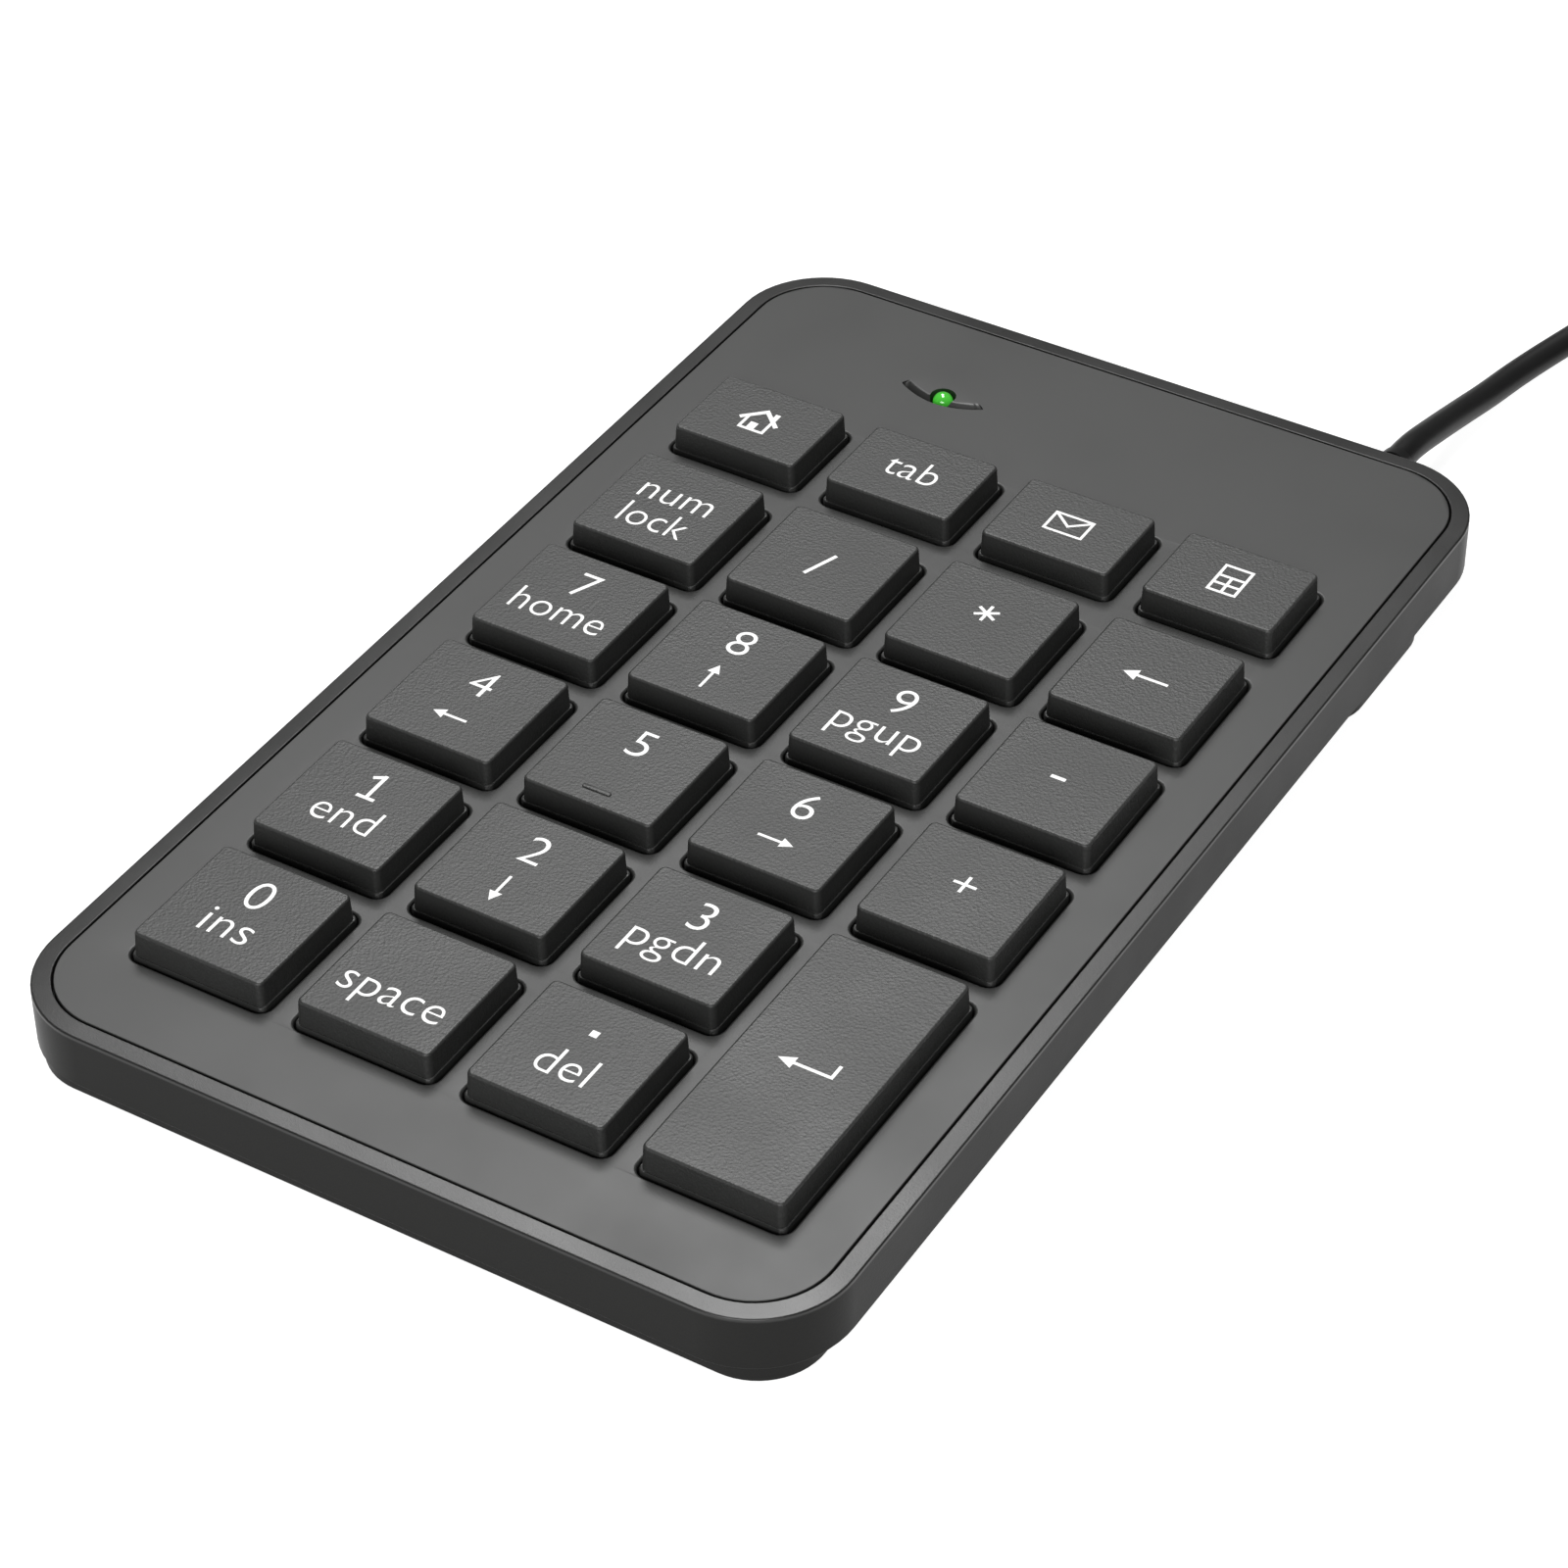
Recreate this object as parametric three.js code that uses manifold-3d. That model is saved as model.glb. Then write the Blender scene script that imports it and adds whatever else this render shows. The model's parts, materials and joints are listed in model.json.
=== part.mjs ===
// A wired numeric keypad. A shallow moulded tub (lower_case) and a key panel (top_cover) are screwed together
// from below. Every key slides in its own guide, presses a rubber dome and closes a contact in a stack of
// three printed films. A small board reads the films, and a cord with a USB plug leaves the rear wall.
// Millimetres. +X right, +Y away from the user, +Z up, origin on the table under the middle of the case.

import * as THREE from "three";
import { mergeVertices } from "three/addons/utils/BufferGeometryUtils.js";
import Module from "manifold-3d";

const wasm = await Module();
wasm.setup();

// ---- Driving dimensions ----

const PITCH = 19.05; // key spacing, both ways
const CASE = { width: 89, length: 147.8, corner: 10.3, wall: 2.3, rim: 2 }; // rim: the wall beside the panel

// Heights above the table.
const FEET_TOP_Z = 1.0;
const PAN_Z = 0.6; // underside of the case
const FLOOR_Z = 2.0; // inside of the tub's floor
const WALL_Z = 3.1; // lower edge of the side wall
const WELL_Z = 4.2; // underside of the key wells
const WELL_FLOOR_Z = 4.95;
const PANEL_Z = 7.3; // underside of the key panel
const RIM_Z = 9.1; // rim and key panel
const CAP_Z = 12.1; // key tops

const PAN = { sideInset: 1.6, endInset: 1, corner: 7 };
const RISER = { width: 12, length: 22, corner: 5, reach: 43.95, y: 47.6 }; // widens the pan under the rear
const PANEL_GAP = 0.2;

const MAIN_ROW_Y = 21.9; // centre of the row above the digits
const FUNCTION_ROW_Y = 40.57;
const CAP = { top: 15, skirt: 15.6, functionTop: 11.45, wall: 1.1, roof: 1.3, corner: 0.8 };
const CAP_SKIRT_Z = 7.5;
const LIP = { width: 0.18, topZ: 9.3 }; // the cap's skirt is wider below this ledge
const HOLE_MARGIN = 0.7; // between a key top and the edge of its opening
const HOLE_CORNER = 1.4;
const WEB = 0.8; // plastic round the outermost wells
const STEM = { side: 5, domeGap: 0.05, guideGap: 0.15, guideWall: 0.85, guideZ: 7.6 };

const DOME = { baseRadius: 3.4, topRadius: 1.7, topZ: 6.0, skin: 0.6, sheetZ: 2.65, sheetTopZ: 3.1 };
const FILM = { thickness: 0.15, gap: 0.02, step: 0.2, contactRadius: 2.8 };
const SHEET = { halfWidth: 36, frontY: -63, backY: 48 };
const TAIL = { x0: -10, x1: 6, y: 58 };

const BOARD = { x0: -24, x1: 15, y0: 51, y1: 66, z: 2.6, topZ: 3.8 };
const CLAMP = { x0: -16, x1: 12, y: 53.6, width: 4, topZ: 4.8 };
const BOARD_SCREW_X = [-13.5, 9.5];
const LED = {
  x: -15.8,
  y: 58.45,
  radius: 1.15,
  holeRadius: 1.45,
  topZ: 9.45,
  leadsRadius: 0.9,
  leadsTopZ: 4.4,
  flange: { width: 0.4, height: 0.8 },
};
const DIMPLE = { halfLength: 5.3, halfWidth: 2.2, depth: 0.8 };

const CASE_SCREWS = [
  [-36, 62],
  [36, 62],
  [-39.6, -6.7],
  [39.6, -6.7],
  [-22, -67],
  [22, -67],
];
const SCREW = { headRadius: 2.0, headZ: 1.0, headTopZ: 2.4, shankRadius: 0.95, holeRadius: 1.15, tipZ: 7.4 };
const BOARD_SCREW = { headRadius: 1.8, headHeight: 1, shankRadius: 0.85, holeRadius: 1.1, length: 4.5 };
const BOSS = { radius: 2.2, pilotRadius: 1.05, wellRadius: 3.0, wellTopZ: 4.1, counterRadius: 2.2 };
const FEET = [
  [-35, -62],
  [35, -62],
  [-36, 48],
  [36, 48],
];
const FOOT_RADIUS = 4.5;
const RECESS_Z = 1.05; // roof of the recess that a foot is glued into

const CORD = { radius: 1.6, leadRadius: 1.3, exitX: 30.6, exitZ: 5.2, reliefEndY: 78 };
const COIL = { x: 66.9, y: 123.2, innerRadius: 8.2, outerRadius: 30.6, z: 0.45, topZ: 6.95 };
const TIE = { degrees: 70, width: 4, thickness: 0.4 };
const PLUG = { x: 95.85, y: 99.7, z: 3.95 };
const TOUCH = 0.3; // gap left where pieces on the cord meet

// How far a feature is sunk into the solid that carries it, so that the two join as one body.
const ROOT = 0.3;

// Half the number of facets in an arc: three.js draws two for each step.
const SMALL_ARC = 1;
const CASE_ARC = 4;

// ---- Materials ----

const plastic = (color, roughness) => new THREE.MeshStandardMaterial({ color, roughness, metalness: 0 });
const metal = (color, roughness) => new THREE.MeshStandardMaterial({ color, roughness, metalness: 1 });
const MATERIAL = {
  case: plastic(0x2b2b2a, 0.55),
  panel: plastic(0x3a3b39, 0.6),
  cap: plastic(0x3c3d3b, 0.7),
  rubber: plastic(0x1c1c1c, 0.9),
  dome: plastic(0xc9cdd0, 0.7),
  film: plastic(0xd8dde0, 0.35),
  board: plastic(0x1f5a34, 0.5),
  chip: plastic(0x151515, 0.5),
  led: plastic(0x5fbf45, 0.15),
  jacket: plastic(0x2a2a2a, 0.6),
  tongue: plastic(0xe8e8e6, 0.5),
  label: plastic(0x8f9294, 0.5),
  steel: metal(0xb8babc, 0.3),
};

// ---- Solids ----

const group = new THREE.Group();

function add(name, geometry, material, parent = group) {
  const mesh = new THREE.Mesh(geometry, material);
  mesh.name = name;
  parent.add(mesh);
  return mesh;
}

function solid(geometry) {
  const bare = geometry.clone();
  bare.deleteAttribute("normal");
  bare.deleteAttribute("uv");
  const merged = mergeVertices(bare, 1e-4);
  const vertProperties = merged.attributes.position.array;
  const triVerts = new Uint32Array(merged.index.array);
  return new wasm.Manifold(new wasm.Mesh({ numProp: 3, vertProperties, triVerts }));
}

function geometryOf(made) {
  const { vertProperties, triVerts } = made.getMesh();
  const geometry = new THREE.BufferGeometry();
  geometry.setAttribute("position", new THREE.BufferAttribute(new Float32Array(vertProperties), 3));
  geometry.setIndex(new THREE.BufferAttribute(new Uint32Array(triVerts), 1));
  return geometry;
}

const join = (first, ...rest) => rest.reduce((made, geometry) => made.add(solid(geometry)), first);
const cut = (first, ...rest) => rest.reduce((made, geometry) => made.subtract(solid(geometry)), first);

// ---- Shapes ----

function roundedRect(width, length, radius) {
  const x = width / 2;
  const y = length / 2;
  const shape = new THREE.Shape();
  shape.moveTo(x, radius - y);
  shape.absarc(x - radius, y - radius, radius, 0, Math.PI / 2);
  shape.absarc(radius - x, y - radius, radius, Math.PI / 2, Math.PI);
  shape.absarc(radius - x, radius - y, radius, Math.PI, 1.5 * Math.PI);
  shape.absarc(x - radius, radius - y, radius, 1.5 * Math.PI, 2 * Math.PI);
  return shape;
}

function prism(shape, z0, z1, arc = CASE_ARC) {
  const settings = { depth: z1 - z0, bevelEnabled: false, curveSegments: arc };
  return new THREE.ExtrudeGeometry(shape, settings).translate(0, 0, z0);
}

function block(x0, x1, y0, y1, z0, z1) {
  const geometry = new THREE.BoxGeometry(x1 - x0, y1 - y0, z1 - z0);
  return geometry.translate((x0 + x1) / 2, (y0 + y1) / 2, (z0 + z1) / 2);
}

// A block centred on x and y, side long both ways unless a depth is given.
const post = (x, y, side, z0, z1, depth = side) =>
  block(x - side / 2, x + side / 2, y - depth / 2, y + depth / 2, z0, z1);

// A cylinder or cone frustum standing at x, y. Eight-sided ones have flats facing the axes.
function rod(x, y, radius, z0, z1, sides = 12, topRadius = radius) {
  const geometry = new THREE.CylinderGeometry(topRadius, radius, z1 - z0, sides);
  geometry.rotateX(Math.PI / 2).rotateZ(Math.PI / sides);
  return geometry.translate(x, y, (z0 + z1) / 2);
}

// A rounded block whose roof is smaller than its floor, as a moulded piece is drafted.
function drafted(floor, roof, radius, z0, z1) {
  const geometry = prism(roundedRect(floor[0], floor[1], radius), z0, z1, SMALL_ARC);
  const points = geometry.getAttribute("position");
  for (let i = 0; i < points.count; i++) {
    if (points.getZ(i) < (z0 + z1) / 2) continue;
    points.setXY(i, (points.getX(i) * roof[0]) / floor[0], (points.getY(i) * roof[1]) / floor[1]);
  }
  return geometry;
}

function turned(profile, sides) {
  const points = profile.map(([r, y]) => new THREE.Vector2(r, y));
  return new THREE.LatheGeometry(points, sides);
}

function tube(points, radius, steps, sides = 8) {
  const path = new THREE.CatmullRomCurve3(points.map((p) => new THREE.Vector3(...p)), false, "centripetal");
  const section = new THREE.Shape();
  section.absarc(0, 0, radius, 0, 2 * Math.PI);
  return new THREE.ExtrudeGeometry(section, { extrudePath: path, steps, curveSegments: sides / 2 });
}

// ---- Key places ----

const COLUMN_X = [-1.5, -0.5, 0.5, 1.5].map((n) => n * PITCH);
const ROW_Y = [FUNCTION_ROW_Y, ...[0, 1, 2, 3, 4].map((n) => MAIN_ROW_Y - n * PITCH)];
const ROWS = [
  ["home_page", "tab", "mail", "calculator"],
  ["num_lock", "divide", "multiply", "backspace"],
  ["7", "8", "9", "minus"],
  ["4", "5", "6", "plus"],
  ["1", "2", "3", "enter"],
  ["0", "space", "decimal"],
];

function keyPlace(label, row, column) {
  const tall = label === "enter"; // two rows high
  const y = tall ? (ROW_Y[row] + ROW_Y[row + 1]) / 2 : ROW_Y[row];
  const length = tall ? CAP.top + PITCH : row === 0 ? CAP.functionTop : CAP.top;
  return { label, x: COLUMN_X[column], y, length };
}

const KEYS = ROWS.flatMap((labels, row) => labels.map((label, column) => keyPlace(label, row, column)));
const ENTER = KEYS.find((key) => key.label === "enter");

// ---- Key caps ----

const SKIRT_GROWTH = CAP.skirt - CAP.top;
const HOMING_BAR = { width: 3.4, depth: 0.6, height: 0.3, y: -5.45 };

// The stabiliser under the tall key: a bar clipped to the cap and turning ends held by the panel.
const WIRE = { radius: 0.45, pivotX: -4.6, pivotZ: 6.2, barX: 4.6, barZ: 8.7, armY: 11.5, endY: 14.6 };
const CLIP = { y: 8, width: 3, depth: 2, z: 7.7, slotWidth: 1.9, slotHeight: 1.2 };
const LUG = { y: 13.2, depth: 1.2, width: 2.4, topZ: 7.2, holeRadius: 0.65 };

function capGeometry({ label, length }) {
  const skirt = [CAP.skirt, length + SKIRT_GROWTH];
  const top = [CAP.top, length];
  const inner = ([width, depth]) => [width - 2 * CAP.wall, depth - 2 * CAP.wall];
  const roofZ = CAP_Z - CAP.roof;
  const aboveLip = skirt.map((size) => size - 2 * LIP.width);
  const outside = join(
    solid(drafted(skirt, skirt, CAP.corner, CAP_SKIRT_Z, LIP.topZ)),
    drafted(aboveLip, top, CAP.corner, LIP.topZ - ROOT, CAP_Z),
  );
  const hollow = drafted(inner(skirt), inner(top), CAP.corner / 2, CAP_SKIRT_Z - 1, roofZ);
  let cap = join(cut(outside, hollow), post(0, 0, STEM.side, DOME.topZ + STEM.domeGap, roofZ + ROOT));
  if (label === "5") {
    const { width, depth, height, y } = HOMING_BAR;
    cap = join(cap, post(0, y, width, CAP_Z - ROOT, CAP_Z + height, depth));
  }
  if (label === "enter") {
    for (const y of [-CLIP.y, CLIP.y]) {
      cap = join(cap, post(WIRE.barX, y, CLIP.width, CLIP.z, roofZ + ROOT, CLIP.depth));
      const slot = [WIRE.barZ - CLIP.slotHeight / 2, WIRE.barZ + CLIP.slotHeight / 2];
      cap = cut(cap, post(WIRE.barX, y, CLIP.slotWidth, ...slot, CLIP.depth + 1));
    }
  }
  return geometryOf(cap);
}

for (const key of KEYS) {
  const cap = add(`key_${key.label}`, capGeometry(key), MATERIAL.cap);
  cap.position.set(key.x, key.y, 0);
}

function stabilizerWire() {
  const corner = 0.9;
  const half = [
    [WIRE.pivotX, WIRE.endY, WIRE.pivotZ],
    [WIRE.pivotX, WIRE.armY + corner, WIRE.pivotZ],
    [WIRE.pivotX + corner, WIRE.armY, WIRE.pivotZ + 0.25],
    [WIRE.barX - corner, WIRE.armY, WIRE.barZ - 0.25],
    [WIRE.barX, WIRE.armY - corner, WIRE.barZ],
    [WIRE.barX, WIRE.armY - 2 * corner, WIRE.barZ],
    [WIRE.barX, 0, WIRE.barZ],
  ];
  const mirrored = half.slice(0, -1).reverse().map(([x, y, z]) => [x, -y, z]);
  return tube([...half, ...mirrored], WIRE.radius, 40, 6);
}

add("enter_stabilizer_wire", stabilizerWire(), MATERIAL.steel).position.set(ENTER.x, ENTER.y, 0);

// ---- Lower case ----

const INNER = { width: CASE.width - 2 * CASE.wall, length: CASE.length - 2 * CASE.wall };
const RIB = { width: 1.6, reach: 1.5, sideY: [-45, 20, 56], endX: [-12, 12] };

// Ribs inside the wall that the key panel rests on.
function panelRibs() {
  const x = INNER.width / 2;
  const y = INNER.length / 2;
  const side = RIB.sideY.flatMap((at) => [
    block(x - RIB.reach, x + ROOT, at, at + RIB.width, FLOOR_Z - ROOT, PANEL_Z),
    block(-x - ROOT, RIB.reach - x, at, at + RIB.width, FLOOR_Z - ROOT, PANEL_Z),
  ]);
  const ends = RIB.endX.flatMap((at) => [
    block(at, at + RIB.width, y - RIB.reach, y + ROOT, FLOOR_Z - ROOT, PANEL_Z),
    block(at, at + RIB.width, -y - ROOT, RIB.reach - y, FLOOR_Z - ROOT, PANEL_Z),
  ]);
  return [...side, ...ends];
}

const LABEL = { width: 52, length: 30, corner: 1.5, z: 0.65, topZ: 0.8 };
const STRIP = { x0: TAIL.x0 - 1, x1: TAIL.x1 + 1, y0: 54, y1: 57, z: 1.4, gap: 0.1 };
const BOARD_POST = { radius: 1.9, pilotRadius: 0.95, pilotZ: 1.1 };
const CORD_HOLE_RADIUS = 1.85;

// Drilled from below, and open at the bottom.
const drilled = (places, radius, topZ, sides) => places.map(([x, y]) => rod(x, y, radius, 0, topZ, sides));

function lowerCase() {
  const wallOutline = roundedRect(CASE.width, CASE.length, CASE.corner);
  const panOutline = roundedRect(CASE.width - 2 * PAN.sideInset, CASE.length - 2 * PAN.endInset, PAN.corner);
  const riser = roundedRect(RISER.width, RISER.length, RISER.corner);
  const risers = [-1, 1].map((side) =>
    prism(riser, PAN_Z, WALL_Z + ROOT).translate(side * (RISER.reach - RISER.width / 2), RISER.y, 0),
  );
  const wall = solid(prism(wallOutline, WALL_Z, RIM_Z));
  const full = join(wall, prism(panOutline, PAN_Z, WALL_Z + ROOT), ...risers);
  const pocket = prism(roundedRect(INNER.width, INNER.length, CASE.corner - CASE.wall), FLOOR_Z, RIM_Z + 1);
  const seatSize = [CASE.width - 2 * CASE.rim, CASE.length - 2 * CASE.rim];
  const panelSeat = prism(roundedRect(...seatSize, CASE.corner - CASE.rim), PANEL_Z, RIM_Z + 1);
  const screwWells = CASE_SCREWS.map(([x, y]) => rod(x, y, BOSS.wellRadius, FLOOR_Z - ROOT, BOSS.wellTopZ));
  const postPlaces = BOARD_SCREW_X.map((x) => [x, CLAMP.y]);
  const boardPosts = postPlaces.map(([x, y]) => rod(x, y, BOARD_POST.radius, FLOOR_Z - ROOT, BOARD.z, 8));
  const tub = join(cut(full, pocket, panelSeat), ...panelRibs(), ...screwWells, ...boardPosts);
  const pilot = [BOARD_POST.pilotRadius, BOARD_POST.pilotZ, BOARD.z + 1, 8];
  const pilots = postPlaces.map(([x, y]) => rod(x, y, ...pilot));
  const labelOutline = roundedRect(LABEL.width + 1, LABEL.length + 1, LABEL.corner + 0.5);
  const { x0, x1, y0, y1, gap } = STRIP;
  const cordHole = new THREE.CylinderGeometry(CORD_HOLE_RADIUS, CORD_HOLE_RADIUS, 4 * CASE.wall, 12);
  return cut(
    tub,
    ...drilled(CASE_SCREWS, BOSS.counterRadius, SCREW.headTopZ, 12),
    ...drilled(CASE_SCREWS, SCREW.holeRadius, BOSS.wellTopZ + 1, 8),
    ...drilled(FEET, FOOT_RADIUS + 0.15, RECESS_Z, 16),
    ...pilots,
    prism(labelOutline, 0, LABEL.topZ, SMALL_ARC),
    block(x0 - gap, x1 + gap, y0 - gap, y1 + gap, STRIP.z, FLOOR_Z + 1),
    cordHole.translate(CORD.exitX, CASE.length / 2, CORD.exitZ),
  );
}

add("lower_case", geometryOf(lowerCase()), MATERIAL.case);

// ---- Top cover ----

const holeWidth = CAP.top + 2 * HOLE_MARGIN;
const WELLS = {
  x: COLUMN_X[3] + holeWidth / 2 + WEB,
  frontY: ROW_Y[5] - holeWidth / 2 - WEB,
  backY: ROW_Y[0] + CAP.functionTop / 2 + HOLE_MARGIN + WEB,
};

function keyWell({ label, x, y, length }) {
  const outline = roundedRect(holeWidth, length + 2 * HOLE_MARGIN, HOLE_CORNER);
  const guideInside = STEM.side + 2 * STEM.guideGap;
  const guideOutside = guideInside + 2 * STEM.guideWall;
  const hollow = solid(prism(outline, WELL_FLOOR_Z, RIM_Z + 1, SMALL_ARC).translate(x, y, 0));
  const lugs = label === "enter" ? [-LUG.y, LUG.y].map((at) => stabilizerLug(x, y + at)) : [];
  const guide = post(x, y, guideOutside, WELL_FLOOR_Z - 1, STEM.guideZ);
  const room = lugs.reduce((made, lug) => made.subtract(lug), cut(hollow, guide));
  return join(room, post(x, y, guideInside, WELL_Z - 1, STEM.guideZ + 1));
}

function stabilizerLug(x, y) {
  const lugX = x + WIRE.pivotX;
  const body = solid(post(lugX, y, LUG.width, WELL_FLOOR_Z - 1, LUG.topZ, LUG.depth));
  const hole = new THREE.CylinderGeometry(LUG.holeRadius, LUG.holeRadius, 4, 8);
  return cut(body, hole.translate(lugX, y, WIRE.pivotZ));
}

function topCover() {
  const inset = CASE.rim + PANEL_GAP;
  const outline = roundedRect(CASE.width - 2 * inset, CASE.length - 2 * inset, CASE.corner - inset);
  const wells = block(-WELLS.x, WELLS.x, WELLS.frontY, WELLS.backY, WELL_Z, PANEL_Z + 1);
  const bosses = CASE_SCREWS.map(([x, y]) => rod(x, y, BOSS.radius, WELL_Z, PANEL_Z + 1));
  let cover = join(solid(prism(outline, PANEL_Z, RIM_Z)), wells, ...bosses);
  for (const key of KEYS) cover = cover.subtract(keyWell(key));
  const pilots = CASE_SCREWS.map(([x, y]) => rod(x, y, BOSS.pilotRadius, WELL_Z - 1, PANEL_Z + 0.5, 8));
  const dimple = new THREE.SphereGeometry(1, 16, 10);
  dimple.scale(DIMPLE.halfLength, DIMPLE.halfWidth, DIMPLE.depth);
  dimple.translate(LED.x, LED.y + 0.3, RIM_Z);
  return cut(cover, ...pilots, dimple, rod(LED.x, LED.y, LED.holeRadius, PANEL_Z - 1, RIM_Z + 1));
}

add("top_cover", geometryOf(topCover()), MATERIAL.panel);

// ---- Dome sheet and contact films ----

const sheet = (z0, z1) => block(-SHEET.halfWidth, SHEET.halfWidth, SHEET.frontY, SHEET.backY, z0, z1);

function domeSheet() {
  const { baseRadius, topRadius, topZ, skin, sheetZ, sheetTopZ } = DOME;
  const bumps = KEYS.map(({ x, y }) => rod(x, y, baseRadius, sheetTopZ - ROOT, topZ, 8, topRadius));
  const inside = [baseRadius - skin, sheetZ - ROOT, topZ - skin, 8, topRadius - skin];
  const hollows = KEYS.map(({ x, y }) => rod(x, y, ...inside));
  return cut(join(solid(sheet(sheetZ, sheetTopZ)), ...bumps), ...hollows);
}

function film(level, withTail, holes) {
  const z = FLOOR_Z + FILM.gap + level * FILM.step;
  const tail = withTail ? [block(TAIL.x0, TAIL.x1, SHEET.backY - 1, TAIL.y, z, z + FILM.thickness)] : [];
  const contacts = holes ? KEYS.map(({ x, y }) => rod(x, y, FILM.contactRadius, z - 1, z + 1, 8)) : [];
  return cut(join(solid(sheet(z, z + FILM.thickness)), ...tail), ...contacts);
}

add("dome_sheet", geometryOf(domeSheet()), MATERIAL.dome);
add("lower_contact_film", geometryOf(film(0, true, false)), MATERIAL.film);
add("spacer_film", geometryOf(film(1, false, true)), MATERIAL.film);
add("upper_contact_film", geometryOf(film(2, true, false)), MATERIAL.film);

// ---- Board, and what holds the films' tail against it ----

function controllerBoard() {
  const { x0, x1, y0, y1, z, topZ } = BOARD;
  const holes = BOARD_SCREW_X.map((x) => rod(x, CLAMP.y, BOARD_SCREW.holeRadius, z - 1, topZ + 1, 8));
  return cut(solid(block(x0, x1, y0, y1, z, topZ)), ...holes);
}

function clampBar() {
  const { x0, x1, y, width, topZ } = CLAMP;
  const holes = BOARD_SCREW_X.map((x) => rod(x, y, BOARD_SCREW.holeRadius, BOARD.topZ - 1, topZ + 1, 8));
  return cut(solid(block(x0, x1, y - width / 2, y + width / 2, BOARD.topZ, topZ)), ...holes);
}

// A clear lamp standing on its leads, with a flange round its foot and a domed end in the panel's hole.
function indicatorLamp() {
  const { radius, leadsRadius, leadsTopZ, flange, topZ } = LED;
  const domeZ = topZ - radius;
  const dome = [75, 60, 45, 30, 15].map((degrees) => {
    const angle = (degrees * Math.PI) / 180;
    return [radius * Math.sin(angle), domeZ + radius * Math.cos(angle)];
  });
  const profile = [
    [0, BOARD.topZ],
    [leadsRadius, BOARD.topZ],
    [leadsRadius, leadsTopZ],
    [radius + flange.width, leadsTopZ],
    [radius + flange.width, leadsTopZ + flange.height],
    [radius, leadsTopZ + flange.height],
    [radius, domeZ],
    ...dome,
    [0, topZ],
  ];
  return turned(profile, 14).rotateX(Math.PI / 2);
}

const onBoard = ({ x0, x1, y0, y1, topZ }) => block(x0, x1, y0, y1, BOARD.topZ, topZ);
const CHIP = { x0: -6, x1: 3, y0: 59, y1: 65, topZ: 5.4 };
const CAPACITOR = { x: 6.5, y: 61.5, radius: 1.8, topZ: 6.8 };
const CONNECTOR = { x0: 10.2, x1: 14.2, y0: 57.4, y1: 65.4, topZ: 6.8 };

add("controller_board", geometryOf(controllerBoard()), MATERIAL.board);
add("controller_chip", onBoard(CHIP), MATERIAL.chip);
const canister = rod(CAPACITOR.x, CAPACITOR.y, CAPACITOR.radius, BOARD.topZ, CAPACITOR.topZ);
add("filter_capacitor", canister, MATERIAL.chip);
add("num_lock_lamp", indicatorLamp(), MATERIAL.led).position.set(LED.x, LED.y, 0);
add("tail_clamp_bar", geometryOf(clampBar()), MATERIAL.steel);
const strip = block(STRIP.x0, STRIP.x1, STRIP.y0, STRIP.y1, STRIP.z, FLOOR_Z);
add("tail_pressure_strip", strip, MATERIAL.rubber);
add("cord_connector", onBoard(CONNECTOR), MATERIAL.tongue);

// ---- Screws, feet and label ----

const screwProfile = (headRadius, headHeight, shankRadius, length) => [
  [0, 0],
  [headRadius, 0],
  [headRadius, headHeight],
  [shankRadius, headHeight],
  [shankRadius, length],
  [0, length],
];

CASE_SCREWS.forEach(([x, y], i) => {
  const { headRadius, headZ, headTopZ, shankRadius, tipZ } = SCREW;
  const profile = screwProfile(headRadius, headTopZ - headZ, shankRadius, tipZ - headZ);
  const screw = add(`case_screw_${i + 1}`, turned(profile, 10), MATERIAL.steel);
  screw.rotation.x = Math.PI / 2;
  screw.position.set(x, y, headZ);
});

BOARD_SCREW_X.forEach((x, i) => {
  const { headRadius, headHeight, shankRadius, length } = BOARD_SCREW;
  const profile = screwProfile(headRadius, headHeight, shankRadius, length);
  const screw = add(`board_screw_${i + 1}`, turned(profile, 8), MATERIAL.steel);
  screw.rotation.x = -Math.PI / 2;
  screw.position.set(x, CLAMP.y, CLAMP.topZ + headHeight);
});

FEET.forEach(([x, y], i) => {
  const foot = rod(0, 0, FOOT_RADIUS, 0, FEET_TOP_Z, 16);
  add(`rubber_foot_${i + 1}`, foot, MATERIAL.rubber).position.set(x, y, 0);
});

const labelSheet = roundedRect(LABEL.width, LABEL.length, LABEL.corner);
add("rating_label", prism(labelSheet, LABEL.z, LABEL.topZ, SMALL_ARC), MATERIAL.label);

// ---- Cord ----

const RELIEF = {
  flangeRadius: 2.0,
  flangeDepth: 1.1,
  neckRadius: 1.7,
  radius: 2.3,
  endRadius: 1.75,
  gap: 0.1,
};

function strainRelief() {
  const { flangeRadius, flangeDepth, neckRadius, radius, endRadius, gap } = RELIEF;
  const flangeY = CASE.length / 2 - CASE.wall - gap;
  const bootY = CASE.length / 2 + gap;
  const profile = [
    [0, flangeY - flangeDepth],
    [flangeRadius, flangeY - flangeDepth],
    [flangeRadius, flangeY],
    [neckRadius, flangeY],
    [neckRadius, bootY],
    [radius, bootY],
    [endRadius, CORD.reliefEndY],
    [0, CORD.reliefEndY],
  ];
  return turned(profile, 12);
}

// Straight out of the case, down to the table and on towards the outer turn of the coil.
const CORD_ROUTE = [
  [30.6, 78.3, 5.2],
  [30.7, 82, 4.9],
  [31.0, 87, 4.0],
  [31.4, 93, 2.8],
  [32.1, 99, 1.9],
  [33.2, 105.4, 1.6],
  [35.2, 113, 1.65],
];
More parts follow.
